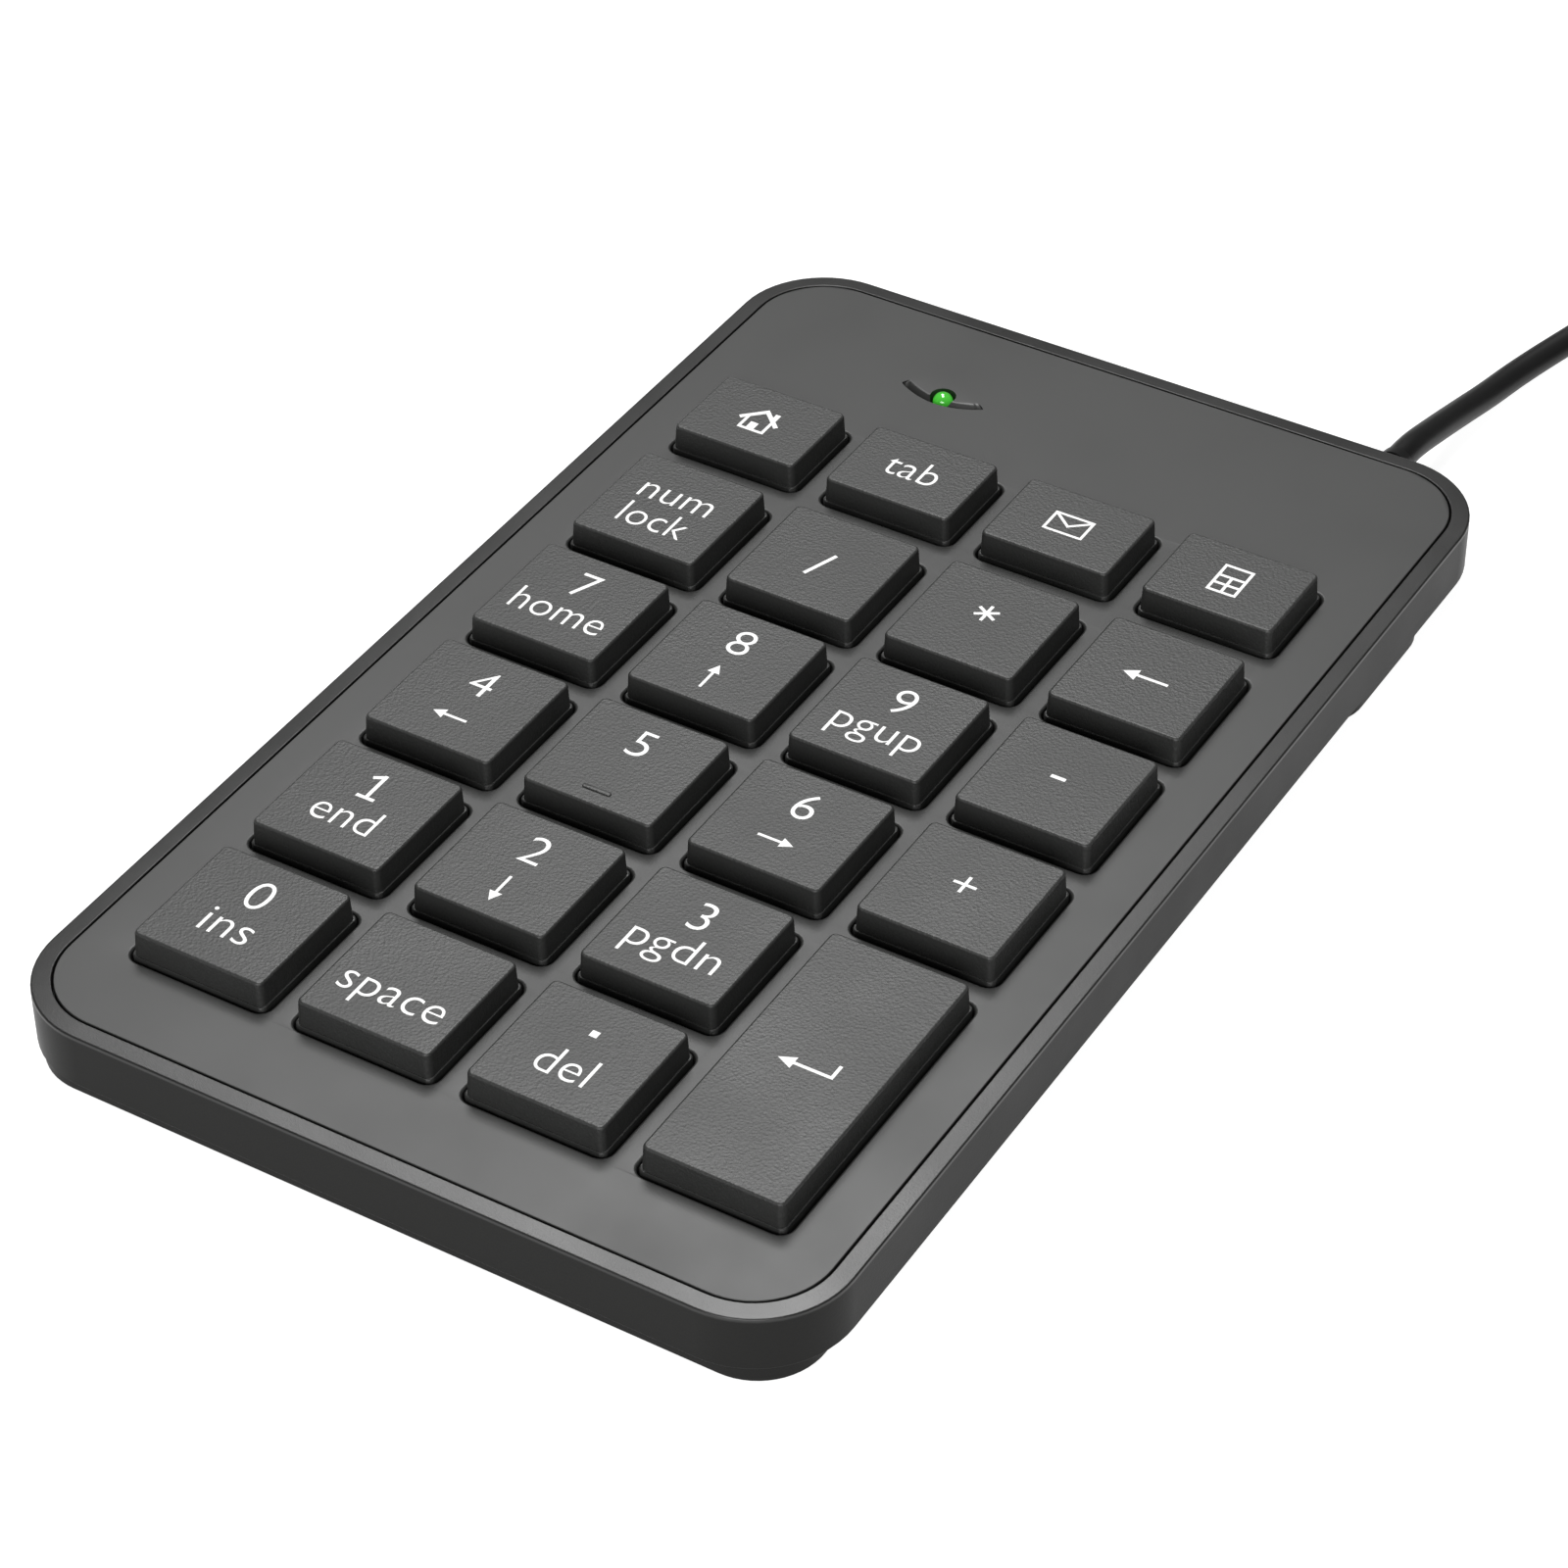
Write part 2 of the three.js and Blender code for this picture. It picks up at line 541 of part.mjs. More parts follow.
// Inside the case, from the board's connector to the strain relief.
const INNER_ROUTE = [
  [14.6, 61.4, 5.2],
  [20, 61.5, 5.2],
  [25.5, 63.2, 5.2],
  [29.6, 66.6, 5.2],
  [30.6, 70.1, 5.2],
];
const END_ROUTE = [
  [PLUG.x, 108.5, PLUG.z],
  [PLUG.x, 104, PLUG.z],
  [PLUG.x, PLUG.y + TOUCH, PLUG.z],
];

add("strain_relief", strainRelief(), MATERIAL.rubber).position.set(CORD.exitX, 0, CORD.exitZ);
add("inner_lead", tube(INNER_ROUTE, CORD.leadRadius, 12), MATERIAL.jacket);
add("usb_cord", tube(CORD_ROUTE, CORD.radius, 12), MATERIAL.jacket);
add("usb_cord_end", tube(END_ROUTE, CORD.radius, 2), MATERIAL.jacket);

const coilGroup = new THREE.Group();
coilGroup.position.set(COIL.x, COIL.y, 0);
group.add(coilGroup);

const coilProfile = [
  [COIL.innerRadius, COIL.z],
  [COIL.outerRadius, COIL.z],
  [COIL.outerRadius, COIL.topZ],
  [COIL.innerRadius, COIL.topZ],
  [COIL.innerRadius, COIL.z],
];
add("usb_cord_coil", turned(coilProfile, 28).rotateX(Math.PI / 2), MATERIAL.jacket, coilGroup);

// A flat strap round the coil's section, seen along the turns.
function cordTie() {
  const middle = (COIL.innerRadius + COIL.outerRadius) / 2;
  const width = COIL.outerRadius - COIL.innerRadius + 4 * TOUCH;
  const height = COIL.topZ + 0.05 - TIE.thickness;
  const strap = post(0, 0, width + 2 * TIE.thickness, 0, height + 2 * TIE.thickness, TIE.width);
  const hole = post(0, 0, width, TIE.thickness, height + TIE.thickness, TIE.width + 1);
  return cut(solid(strap), hole).translate(middle, 0, 0);
}

const tieTurn = new THREE.Group();
tieTurn.rotation.z = (TIE.degrees * Math.PI) / 180;
coilGroup.add(tieTurn);
add("cord_tie", geometryOf(cordTie()), MATERIAL.rubber, tieTurn);

// ---- Plug, lying flat beside the coil and pointing back along -Y ----

const NECK = { cordRadius: 1.9, gripRadius: 3.4, length: 8 };
const GRIP = { width: 15.4, height: 7.8, corner: 2.2, end: 32, pocket: 3 };
const SHELL = { width: 12, height: 4.5, wall: 0.3, length: 15 };
const TONGUE = { thickness: 1.7, rootStart: 0.5, rootEnd: 4, end: 14 };

// In these pieces z runs along the plug, from the cord to the tip.
const plug = new THREE.Group();
plug.position.set(PLUG.x, PLUG.y, PLUG.z);
plug.rotation.x = Math.PI / 2;
group.add(plug);

function plugGrip() {
  const outline = roundedRect(GRIP.width, GRIP.height, GRIP.corner);
  const body = solid(prism(outline, NECK.length, GRIP.end, SMALL_ARC));
  const neck = rod(0, 0, NECK.cordRadius, 0, NECK.length + ROOT, 12, NECK.gripRadius);
  const pocket = [SHELL.width + 2 * TOUCH, SHELL.height + 2 * TOUCH];
  return cut(join(body, neck), post(0, 0, pocket[0], GRIP.end - GRIP.pocket, GRIP.end + 1, pocket[1]));
}

const shellStart = GRIP.end - GRIP.pocket + TOUCH;
const shellInside = [SHELL.width - 2 * SHELL.wall, SHELL.height - 2 * SHELL.wall];

function plugShell() {
  const end = shellStart + SHELL.length;
  const outside = solid(post(0, 0, SHELL.width, shellStart, end, SHELL.height));
  return cut(outside, post(0, 0, shellInside[0], shellStart - 1, end + 1, shellInside[1]));
}

// The contact block fills the back of the shell and its tongue reaches almost to the mouth.
function plugTongue() {
  const [width, height] = [shellInside[0] - 2 * TOUCH, shellInside[1] - 2 * TOUCH];
  const { thickness, rootStart, rootEnd, end } = TONGUE;
  const root = solid(post(0, 0, width, shellStart + rootStart, shellStart + rootEnd, height));
  const [bladeStart, bladeEnd] = [shellStart + rootEnd - 1, shellStart + end];
  return join(root, post(0, (height - thickness) / 2, width, bladeStart, bladeEnd, thickness));
}

add("plug_grip", geometryOf(plugGrip()), MATERIAL.jacket, plug);
add("plug_shell", geometryOf(plugShell()), MATERIAL.steel, plug);
add("plug_tongue", geometryOf(plugTongue()), MATERIAL.tongue, plug);

export default group;
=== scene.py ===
import json
import math

import bmesh
import bpy
from mathutils import Matrix, Vector


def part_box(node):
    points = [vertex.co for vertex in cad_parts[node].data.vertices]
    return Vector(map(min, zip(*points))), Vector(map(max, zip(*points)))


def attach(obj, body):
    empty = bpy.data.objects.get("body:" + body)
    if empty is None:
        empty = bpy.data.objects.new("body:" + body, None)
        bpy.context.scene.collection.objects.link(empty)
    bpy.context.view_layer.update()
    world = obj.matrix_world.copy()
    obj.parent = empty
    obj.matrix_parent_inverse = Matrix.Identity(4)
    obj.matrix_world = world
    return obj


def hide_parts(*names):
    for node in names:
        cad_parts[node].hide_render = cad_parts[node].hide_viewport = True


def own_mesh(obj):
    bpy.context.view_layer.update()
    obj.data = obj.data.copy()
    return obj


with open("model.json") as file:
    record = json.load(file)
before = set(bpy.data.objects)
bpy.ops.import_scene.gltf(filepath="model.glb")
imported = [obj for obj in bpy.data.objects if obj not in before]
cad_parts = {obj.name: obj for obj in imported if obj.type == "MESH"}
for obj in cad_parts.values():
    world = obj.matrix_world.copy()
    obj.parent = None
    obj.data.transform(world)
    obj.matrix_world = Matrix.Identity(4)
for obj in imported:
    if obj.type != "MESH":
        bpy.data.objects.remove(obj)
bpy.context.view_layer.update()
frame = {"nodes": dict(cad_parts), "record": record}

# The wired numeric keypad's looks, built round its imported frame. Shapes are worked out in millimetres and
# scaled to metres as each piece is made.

MM = 0.001
scene = bpy.context.scene
scene.view_settings.view_transform = "Standard"


def mm_box(node):
    """The lowest and highest corner of a CAD node, in millimetres."""
    low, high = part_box(node)
    return low / MM, high / MM


# ---- Camera ----

AIM = Vector((5.8, -11.43, 12.1))
CAMERA = {"azimuth": 31.38, "elevation": 39.52, "distance": 453.8, "lens": 105.9, "roll": -0.465}


def make_camera():
    azimuth, elevation = (math.radians(CAMERA[k]) for k in ("azimuth", "elevation"))
    level = math.cos(elevation)
    back = Vector((math.sin(azimuth) * level, -math.cos(azimuth) * level, math.sin(elevation)))
    data = bpy.data.cameras.new("camera")
    data.lens = CAMERA["lens"]
    data.clip_start = 0.01
    camera = bpy.data.objects.new("camera", data)
    camera.location = (AIM + back * CAMERA["distance"]) * MM
    level_view = (-back).to_track_quat("-Z", "Y").to_matrix()
    roll = Matrix.Rotation(math.radians(CAMERA["roll"]), 3, "Z")
    camera.rotation_euler = (level_view @ roll).to_euler()
    scene.collection.objects.link(camera)
    scene.camera = camera


make_camera()

# ---- Materials ----


def grainy(
    name, color, roughness, grain, depth, mottle=0.12, metallic=0.0, leather=False, painted_shade=None, **sockets
):
    """Moulded or rolled stuff. grain is the size of its texture and depth its height, both in millimetres.

    Colour and roughness drift a little over the piece, and fine bumps give the grain. Painted shade may be
    asked for:
    two heights in millimetres, and the shine at and below the first one; the lower part then looks shadowed.
    """
    material = bpy.data.materials.new(name)
    material.use_nodes = True
    tree = material.node_tree
    nodes, links = tree.nodes, tree.links
    shader = nodes["Principled BSDF"]
    shader.inputs["Metallic"].default_value = metallic
    for socket, value in sockets.items():
        shader.inputs[socket.replace("_", " ")].default_value = value

    place = nodes.new("ShaderNodeTexCoord")
    to_mm = nodes.new("ShaderNodeMapping")
    to_mm.inputs["Scale"].default_value = (1 / MM,) * 3
    links.new(place.outputs["Object"], to_mm.inputs["Vector"])

    def noise(scale, detail, rough=0.5):
        made = nodes.new("ShaderNodeTexNoise")
        made.inputs["Scale"].default_value = scale
        made.inputs["Detail"].default_value = detail
        made.inputs["Roughness"].default_value = rough
        links.new(to_mm.outputs["Vector"], made.inputs["Vector"])
        return made.outputs["Fac"]

    def spread(value, low, high):
        made = nodes.new("ShaderNodeMapRange")
        made.inputs["From Min"].default_value = 0.3
        made.inputs["From Max"].default_value = 0.7
        made.inputs["To Min"].default_value = low
        made.inputs["To Max"].default_value = high
        links.new(value, made.inputs["Value"])
        return made.outputs["Result"]

    fine = noise(1 / grain, 3, 0.6)
    drift = noise(0.07, 4)
    tint = nodes.new("ShaderNodeMix")
    tint.data_type = "RGBA"
    tint.inputs["A"].default_value = (*(c * (1 - mottle) for c in color), 1)
    tint.inputs["B"].default_value = (*(c * (1 + mottle) for c in color), 1)
    both = nodes.new("ShaderNodeMath")
    both.operation = "MULTIPLY_ADD"
    links.new(fine, both.inputs[0])
    both.inputs[1].default_value = 0.6
    links.new(spread(drift, 0.0, 0.4), both.inputs[2])
    links.new(both.outputs[0], tint.inputs["Factor"])
    links.new(tint.outputs["Result"], shader.inputs["Base Color"])
    links.new(spread(drift, roughness - 0.04, roughness + 0.04), shader.inputs["Roughness"])

    # Painted shade: the shine falls off towards the bottom, so the lower part looks darker, as if in shadow.
    if painted_shade:
        parts = nodes.new("ShaderNodeSeparateXYZ")
        links.new(to_mm.outputs["Vector"], parts.inputs["Vector"])
        shine = nodes.new("ShaderNodeMapRange")
        shine.inputs["From Min"].default_value, shine.inputs["From Max"].default_value = painted_shade[:2]
        shine.inputs["To Min"].default_value = painted_shade[2]
        shine.inputs["To Max"].default_value = shader.inputs["Specular IOR Level"].default_value
        links.new(parts.outputs["Z"], shine.inputs["Value"])
        links.new(shine.outputs["Result"], shader.inputs["Specular IOR Level"])

    height = fine
    if leather:
        cells = nodes.new("ShaderNodeTexVoronoi")
        cells.feature = "SMOOTH_F1"
        cells.inputs["Scale"].default_value = 0.8 / grain
        cells.inputs["Smoothness"].default_value = 0.4
        links.new(to_mm.outputs["Vector"], cells.inputs["Vector"])
        mixed = nodes.new("ShaderNodeMath")
        mixed.operation = "MULTIPLY_ADD"
        links.new(cells.outputs["Distance"], mixed.inputs[0])
        mixed.inputs[1].default_value = 0.8
        links.new(fine, mixed.inputs[2])
        height = mixed.outputs[0]
    bump = nodes.new("ShaderNodeBump")
    bump.inputs["Distance"].default_value = depth * MM
    links.new(height, bump.inputs["Height"])
    links.new(bump.outputs["Normal"], shader.inputs["Normal"])
    return material


MATERIAL = {
    "case_plastic": grainy(
        "case_moulding",
        (0.016, 0.016, 0.0155),
        0.36,
        0.22,
        0.012,
        # Painted shade on the case's walls: their shine drops away below 8.5 mm, as if they reflected
        # shadowed floor.
        painted_shade=(8.5, 8.9, 0.05),
        Specular_IOR_Level=0.5,
    ),
    "panel_plastic": grainy("panel_moulding", (0.024, 0.0245, 0.0235), 0.44, 0.2, 0.004, 0.06),
    "key_plastic": grainy("key_moulding", (0.027, 0.0275, 0.0265), 0.47, 0.28, 0.03, 0.14, leather=True),
    "green_lamp": grainy(
        "lamp_epoxy",
        (0.1, 0.62, 0.07),
        0.08,
        0.6,
        0.001,
        0.05,
        Transmission_Weight=0.5,
        Coat_Weight=1.0,
        Emission_Color=(0.08, 0.5, 0.05, 1),
        Emission_Strength=0.25,
    ),
    "steel": grainy("zinc_steel", (0.5, 0.5, 0.49), 0.32, 0.15, 0.003, metallic=1.0),
    "plug_steel": grainy("nickel_sheet", (0.6, 0.59, 0.57), 0.2, 0.4, 0.002, metallic=1.0),
    "dome_silicone": grainy("silicone", (0.55, 0.57, 0.6), 0.45, 0.5, 0.004, Transmission_Weight=0.3),
    "film": grainy("printed_film", (0.62, 0.66, 0.68), 0.25, 1.5, 0.002, Transmission_Weight=0.2),
    "board": grainy("solder_mask", (0.012, 0.1, 0.035), 0.35, 0.6, 0.008, 0.2),
    "component": grainy("moulded_epoxy", (0.013, 0.013, 0.013), 0.5, 0.15, 0.01),
    "light_plastic": grainy("white_nylon", (0.78, 0.78, 0.76), 0.45, 0.3, 0.004, 0.03),
    "rubber": grainy("foot_rubber", (0.016, 0.016, 0.016), 0.75, 0.25, 0.02),
    "cord_rubber": grainy("cord_jacket", (0.01, 0.01, 0.01), 0.42, 0.3, 0.006, Specular_IOR_Level=0.2),
    "label": grainy("blank_label", (0.28, 0.29, 0.3), 0.35, 0.3, 0.003, 0.05, metallic=0.3),
}
PRINT = grainy("legend_print", (0.86, 0.86, 0.85), 0.55, 0.12, 0.003, 0.04)
GOLD = grainy("gold_contact", (0.9, 0.62, 0.22), 0.22, 0.3, 0.001, metallic=1.0)

# ---- Outlines, rings and pieces ----


def arc(x, y, radius, start, end, steps):
    """steps + 1 points round a centre, between two angles in degrees."""
    angles = (math.radians(start + (end - start) * i / steps) for i in range(steps + 1))
    return [(x + radius * math.cos(a), y + radius * math.sin(a)) for a in angles]


def rounded(width, length, corner, x=0, y=0, steps=5):
    """A rectangle with round corners, anticlockwise from its right front corner."""
    i, j = width / 2 - corner, length / 2 - corner
    return (
        arc(x + i, y - j, corner, -90, 0, steps)
        + arc(x + i, y + j, corner, 0, 90, steps)
        + arc(x - i, y + j, corner, 90, 180, steps)
        + arc(x - i, y - j, corner, 180, 270, steps)
    )


def circle(x, y, radius, count=40):
    return arc(x, y, radius, 0, 360, count)[:-1]


def ring(bm, outline, z):
    return [bm.verts.new((x, y, z)) for x, y in outline]


def bridge(bm, first, second):
    for i, vert in enumerate(first):
        bm.faces.new((first[i - 1], vert, second[i], second[i - 1]))


def stack(bm, levels, first=True, last=True):
    """Joins outlines at their heights, all of one count, into one skin. The ends are closed if asked."""
    rings = [ring(bm, outline, z) for outline, z in levels]
    for lower, upper in zip(rings, rings[1:]):
        bridge(bm, lower, upper)
    if first:
        bm.faces.new(rings[0])
    if last:
        bm.faces.new(rings[-1])
    return rings


def fill(bm, loops):
    """One flat face with holes in it, from its outer loop and those of its holes."""
    edges = []
    for loop in loops:
        for i, vert in enumerate(loop):
            edges.append(bm.edges.get((loop[i - 1], vert)) or bm.edges.new((loop[i - 1], vert)))
    bmesh.ops.triangle_fill(bm, use_beauty=True, use_dissolve=False, edges=edges, normal=(0, 0, 1))


def quarter(radius, steps=4):
    """A round edge as (inset, drop) pairs, from the flat face's edge down to the wall."""
    angles = (math.radians(90 * i / steps) for i in range(steps + 1))
    return [(radius * (1 - math.sin(a)), radius * (1 - math.cos(a))) for a in angles]


def lathe(bm, profile, x=0, y=0, count=40):
    """A closed piece turned about a vertical axis, from (radius, z) pairs."""
    return stack(bm, [(circle(x, y, r, count), z) for r, z in profile])


def bridge_round(bm, rings):
    """Joins each ring to the next, and the last to the first: the skin of a thing with a hole through."""
    for a, b in zip(rings, rings[1:] + rings[:1]):
        bridge(bm, a, b)


def tube_shell(bm, x, y, outer, inner, z0, z1, count=24):
    levels = [(inner, z0), (inner, z1), (outer, z1), (outer, z0)]
    bridge_round(bm, [ring(bm, circle(x, y, r, count), z) for r, z in levels])


def block(bm, x0, x1, y0, y1, z0, z1, corner=0.15):
    outline = rounded(x1 - x0, y1 - y0, corner, (x0 + x1) / 2, (y0 + y1) / 2, 2)
    stack(bm, [(outline, z0), (outline, z1)])


def to_mesh(name, bm):
    bmesh.ops.recalc_face_normals(bm, faces=bm.faces)
    mesh = bpy.data.meshes.new(name)
    bm.to_mesh(mesh)
    bm.free()
    mesh.transform(Matrix.Scale(MM, 4))
    return mesh


def piece(name, bm, body, slot, replaces=(), sharp=38, turn=None, material=None):
    """Makes a piece that rides on a body from a bmesh in millimetres. Its slot gives its usual material."""
    mesh = to_mesh(name, bm)
    if turn is not None:
        mesh.transform(turn)
    mesh.shade_smooth()
    mesh.set_sharp_from_angle(angle=math.radians(sharp))
    mesh.materials.append(material or MATERIAL[slot])
    made = bpy.data.objects.new(name, mesh)
    scene.collection.objects.link(made)
    normals = made.modifiers.new("even_shading", "WEIGHTED_NORMAL")
    normals.keep_sharp = True
    normals.weight = 100
    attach(made, body)
    if replaces:
        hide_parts(*replaces)
    return made


def spline_points(points, steps):
    """A smooth line through the points, with steps stretches between each two."""
    ends = [2 * points[0] - points[1], *points, 2 * points[-1] - points[-2]]
    line = []
    for before, start, end, after in zip(ends, ends[1:], ends[2:], ends[3:]):
        for i in range(steps):
            t = i / steps
            line.append(
                0.5
                * (
                    2 * start
                    + (end - before) * t
                    + (2 * before - 5 * start + 4 * end - after) * t**2
                    + (3 * start - before - 3 * end + after) * t**3
                )
            )
    return [*line, points[-1]]


def round_wire(name, points, radius, body, slot, replaces):
    """A curve of round section through points in millimetres."""
    curve = bpy.data.curves.new(name, "CURVE")
    curve.dimensions = "3D"
    curve.bevel_depth = radius * MM
    curve.bevel_resolution = 4
    curve.use_fill_caps = True
    line = curve.splines.new("POLY")
    line.points.add(len(points) - 1)
    for place, point in zip(line.points, points):
        place.co = (*(point * MM), 1)
    line.use_smooth = True
    curve.materials.append(MATERIAL[slot])
    made = bpy.data.objects.new(name, curve)
    scene.collection.objects.link(made)
    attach(made, body)
    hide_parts(*replaces)
    return made


# ---- Cord ----

# From inside the mouth of the strain relief down to the table and on towards the coil, as the CAD lays it.
CORD_ROUTE = [
    (30.6, 77.5, 5.2),
    (30.6, 78.3, 5.2),
    (30.7, 82, 4.9),
    (31.0, 87, 4.0),
    (31.4, 93, 2.8),
    (32.1, 99, 1.9),
    (33.2, 105.4, 1.6),
    (35.2, 113, 1.65),
]
CORD = {"radius": 1.6, "length": 1.429}
COIL = {"x": 66.9, "y": 123.2, "outer": 27.45, "pitch": 3.3, "start": 163.7, "low": 2.05, "high": 5.25}
COIL_TURNS = {"down": 5, "up": 5.455, "descent": 0.455, "steps": 40}
CLIMB_DIP = 1.15  # how much closer to the coil's middle the cord goes while it climbs to the upper layer
PLUG = {"x": 95.85, "y": 99.7, "z": 3.95}


def smooth(t):
    t = min(max(t, 0), 1)
    return t * t * (3 - 2 * t)


def coil_point(u):
    """A place in the coil, u turns from its start: in on the lower layer, up, out on the upper one."""
    down = COIL_TURNS["down"]
    inner = COIL["outer"] - COIL["pitch"] * down
    if u < down:
        radius, z = COIL["outer"] - COIL["pitch"] * u, COIL["low"]
    elif u < down + 1:
        climb = u - down
        radius = inner - CLIMB_DIP * math.sin(math.pi * climb)
        z = COIL["low"] + (COIL["high"] - COIL["low"]) * smooth(climb)
    else:
        radius = inner + COIL["pitch"] * (u - down - 1)
        last, descent = down + 1 + COIL_TURNS["up"], COIL_TURNS["descent"]
        z = COIL["high"] - (COIL["high"] - PLUG["z"]) * smooth((u - last + descent) / descent)
    angle = math.radians(COIL["start"] - 360 * u)
    return Vector((COIL["x"] + radius * math.cos(angle), COIL["y"] + radius * math.sin(angle), z))


def cord_points():
    turns = COIL_TURNS["down"] + 1 + COIL_TURNS["up"]
    count = round(turns * COIL_TURNS["steps"])
    coil = [coil_point(turns * i / count) for i in range(count + 1)]
    route = [Vector(p) for p in CORD_ROUTE]
    lead = spline_points([*route, coil[0]], 5)[:-1]
    tail_end = PLUG["y"] - 0.5
    step = (tail_end - coil[-1].y) / 8
    tail = [Vector((PLUG["x"], coil[-1].y + step * i, PLUG["z"])) for i in range(1, 9)]
    return lead + coil + tail


CORD_LINE = cord_points()
CORD_NODES = ("usb_cord", "usb_cord_coil", "usb_cord_end")
usb_cord = round_wire("usb_cord_whole", CORD_LINE, CORD["radius"], "case", "cord_rubber", CORD_NODES)

# ---- Keys ----

LABELS = [node[len("key_"):] for node in frame["nodes"] if node.startswith("key_")]
CAP = {"growth": 0.3, "corner": 0.7, "edge": 0.3, "wall": 1.1, "roof": 1.3, "skirt_z": 7.5}
LIP = {"width": 0.18, "z": 9.3}
STEM_SIDE = 5
STEM_Z, CAP_Z = (corner.z for corner in mm_box("key_7"))


def key_frame(label):
    """The centre of a key, and the width and length of its top."""
    low, high = mm_box(f"key_{label}")
    top = (high.x - low.x - 2 * CAP["growth"], high.y - low.y - 2 * CAP["growth"])
    return (low.x + high.x) / 2, (low.y + high.y) / 2, *top


def key_cap(label):
    """A hollow cap with its stem, and a ledge round its skirt at the height of the panel."""
    x, y, width, length = key_frame(label)
    wall, growth, corner, skirt_z = CAP["wall"], CAP["growth"], CAP["corner"], CAP["skirt_z"]
    roof_z = CAP_Z - CAP["roof"]

    def level(inset, z, radius=corner):
        return rounded(width - 2 * inset, length - 2 * inset, max(radius, 0.2), x, y), z

    def stem(grow, z, radius=0.5):
        return rounded(STEM_SIDE + grow, STEM_SIDE + grow, radius, x, y), z

    levels = [
        stem(-0.4, STEM_Z, 0.3),
        stem(0, STEM_Z + 0.2),
        stem(0, roof_z - 0.4),
        stem(0.8, roof_z, 0.9),
        level(wall + 0.4, roof_z, 0.5),
        level(wall, roof_z - 0.4, 0.6),
        level(wall - growth, skirt_z + 0.1, 0.6),
        level(wall - growth - 0.1, skirt_z, 0.6),
        level(0.15 - growth, skirt_z),
        level(-growth, skirt_z + 0.15),
        level(-growth, LIP["z"] - 0.08),
        level(0.05 - growth, LIP["z"]),
    ]
    lean = growth - LIP["width"]
    levels.append(level(-lean, LIP["z"] + 0.01))
    for inset, drop in reversed(quarter(CAP["edge"])):
        slope = lean * drop / (CAP_Z - LIP["z"])
        levels.append(level(inset - slope, CAP_Z - drop, corner - inset))
    bm = bmesh.new()
    stack(bm, levels)
    node = f"key_{label}"
    piece(f"cap_{label}", bm, node, "key_plastic", (node,), 50)


for label in LABELS:
    key_cap(label)

HOMING_BAR = {"width": 3.3, "depth": 0.55, "height": 0.2, "y": -5.45}


def homing_bar():
    x, y, _, _ = key_frame("5")
    width, depth = HOMING_BAR["width"], HOMING_BAR["depth"]
    y += HOMING_BAR["y"]
    base = rounded(width, depth, 0.26, x, y, 4)
    top = rounded(width - 0.3, depth - 0.3, 0.12, x, y, 4)
    shoulder = rounded(width - 0.08, depth - 0.08, 0.22, x, y, 4)
    bm = bmesh.new()
    heights = (-0.05, 0.4 * HOMING_BAR["height"], 0.8 * HOMING_BAR["height"], HOMING_BAR["height"])
    stack(bm, [(shape, CAP_Z + rise) for shape, rise in zip((base, base, shoulder, top), heights)])
    piece("homing_bar", bm, "key_5", "key_plastic")


homing_bar()

# ---- Legends ----

LEGEND = {"thickness": 0.03, "digit": 4.0, "x_height": 2.43, "stroke": 0.36, "layer": 0.0005, "layers": 7}


def letters(content):
    """The built-in font's letters as a mesh in font units, solid from -1 to 1 in z."""
    curve = bpy.data.curves.new("letters", "FONT")
    curve.body = content
    curve.resolution_u = 6
    curve.extrude = 1
    curve.offset = -0.012
    holder = bpy.data.objects.new("letters", curve)
    scene.collection.objects.link(holder)
    mesh = bpy.data.meshes.new_from_object(holder.evaluated_get(bpy.context.evaluated_depsgraph_get()))
    bpy.data.objects.remove(holder)
    bpy.data.curves.remove(curve)
    return mesh


def extent(mesh, axis):
    values = [v.co[axis] for v in mesh.vertices]
    return min(values), max(values)


X_HEIGHT = extent(letters("x"), 1)[1]
DIGIT_HEIGHT = extent(letters("4"), 1)[1]


def write(bm, content, x, baseline, height_scale, width=None):
    """Adds letters centred on x, standing on the baseline, and as wide as asked."""
    mesh = letters(content)
    left, right = extent(mesh, 0)
    width_scale = width / (right - left) if width else height_scale
    centre = (left + right) / 2
    half = LEGEND["thickness"] / 2
    place = Matrix.Translation((x, baseline, CAP_Z + half))
    size = Matrix.Diagonal((width_scale, height_scale, half, 1))
    mesh.transform(place @ size @ Matrix.Translation((-centre, 0, 0)))
    bm.from_mesh(mesh)
    bpy.data.meshes.remove(mesh)


def plate(bm, outline, x, y):
    """A printed patch. Crossing ones differ by a hair in thickness, so that they don't share a face."""
    layer = len(bm.faces) % LEGEND["layers"]
    top = CAP_Z + LEGEND["thickness"] + LEGEND["layer"] * layer
    placed = [(x + i, y + j) for i, j in outline]
    stack(bm, [(placed, CAP_Z), (placed, top)])


def stroke(bm, start, end, x, y, width=None):
    a, b = Vector(start), Vector(end)
    side = Vector((a.y - b.y, b.x - a.x)).normalized() * (width or LEGEND["stroke"]) / 2
    plate(bm, [a + side, a - side, b - side, b + side], x, y)


def outline_strokes(bm, points, x, y, width=None):
    """A line of strokes through the points, each drawn half a stroke longer so that corners are full."""
    half = (width or LEGEND["stroke"]) / 2
    for a, b in zip(points, points[1:]):
        a, b = Vector(a), Vector(b)
        run = (b - a).normalized() * half
        stroke(bm, a - run, b + run, x, y, width)


def turned_by(points, degrees):
    a = math.radians(degrees)
    return [(i * math.cos(a) - j * math.sin(a), i * math.sin(a) + j * math.cos(a)) for i, j in points]


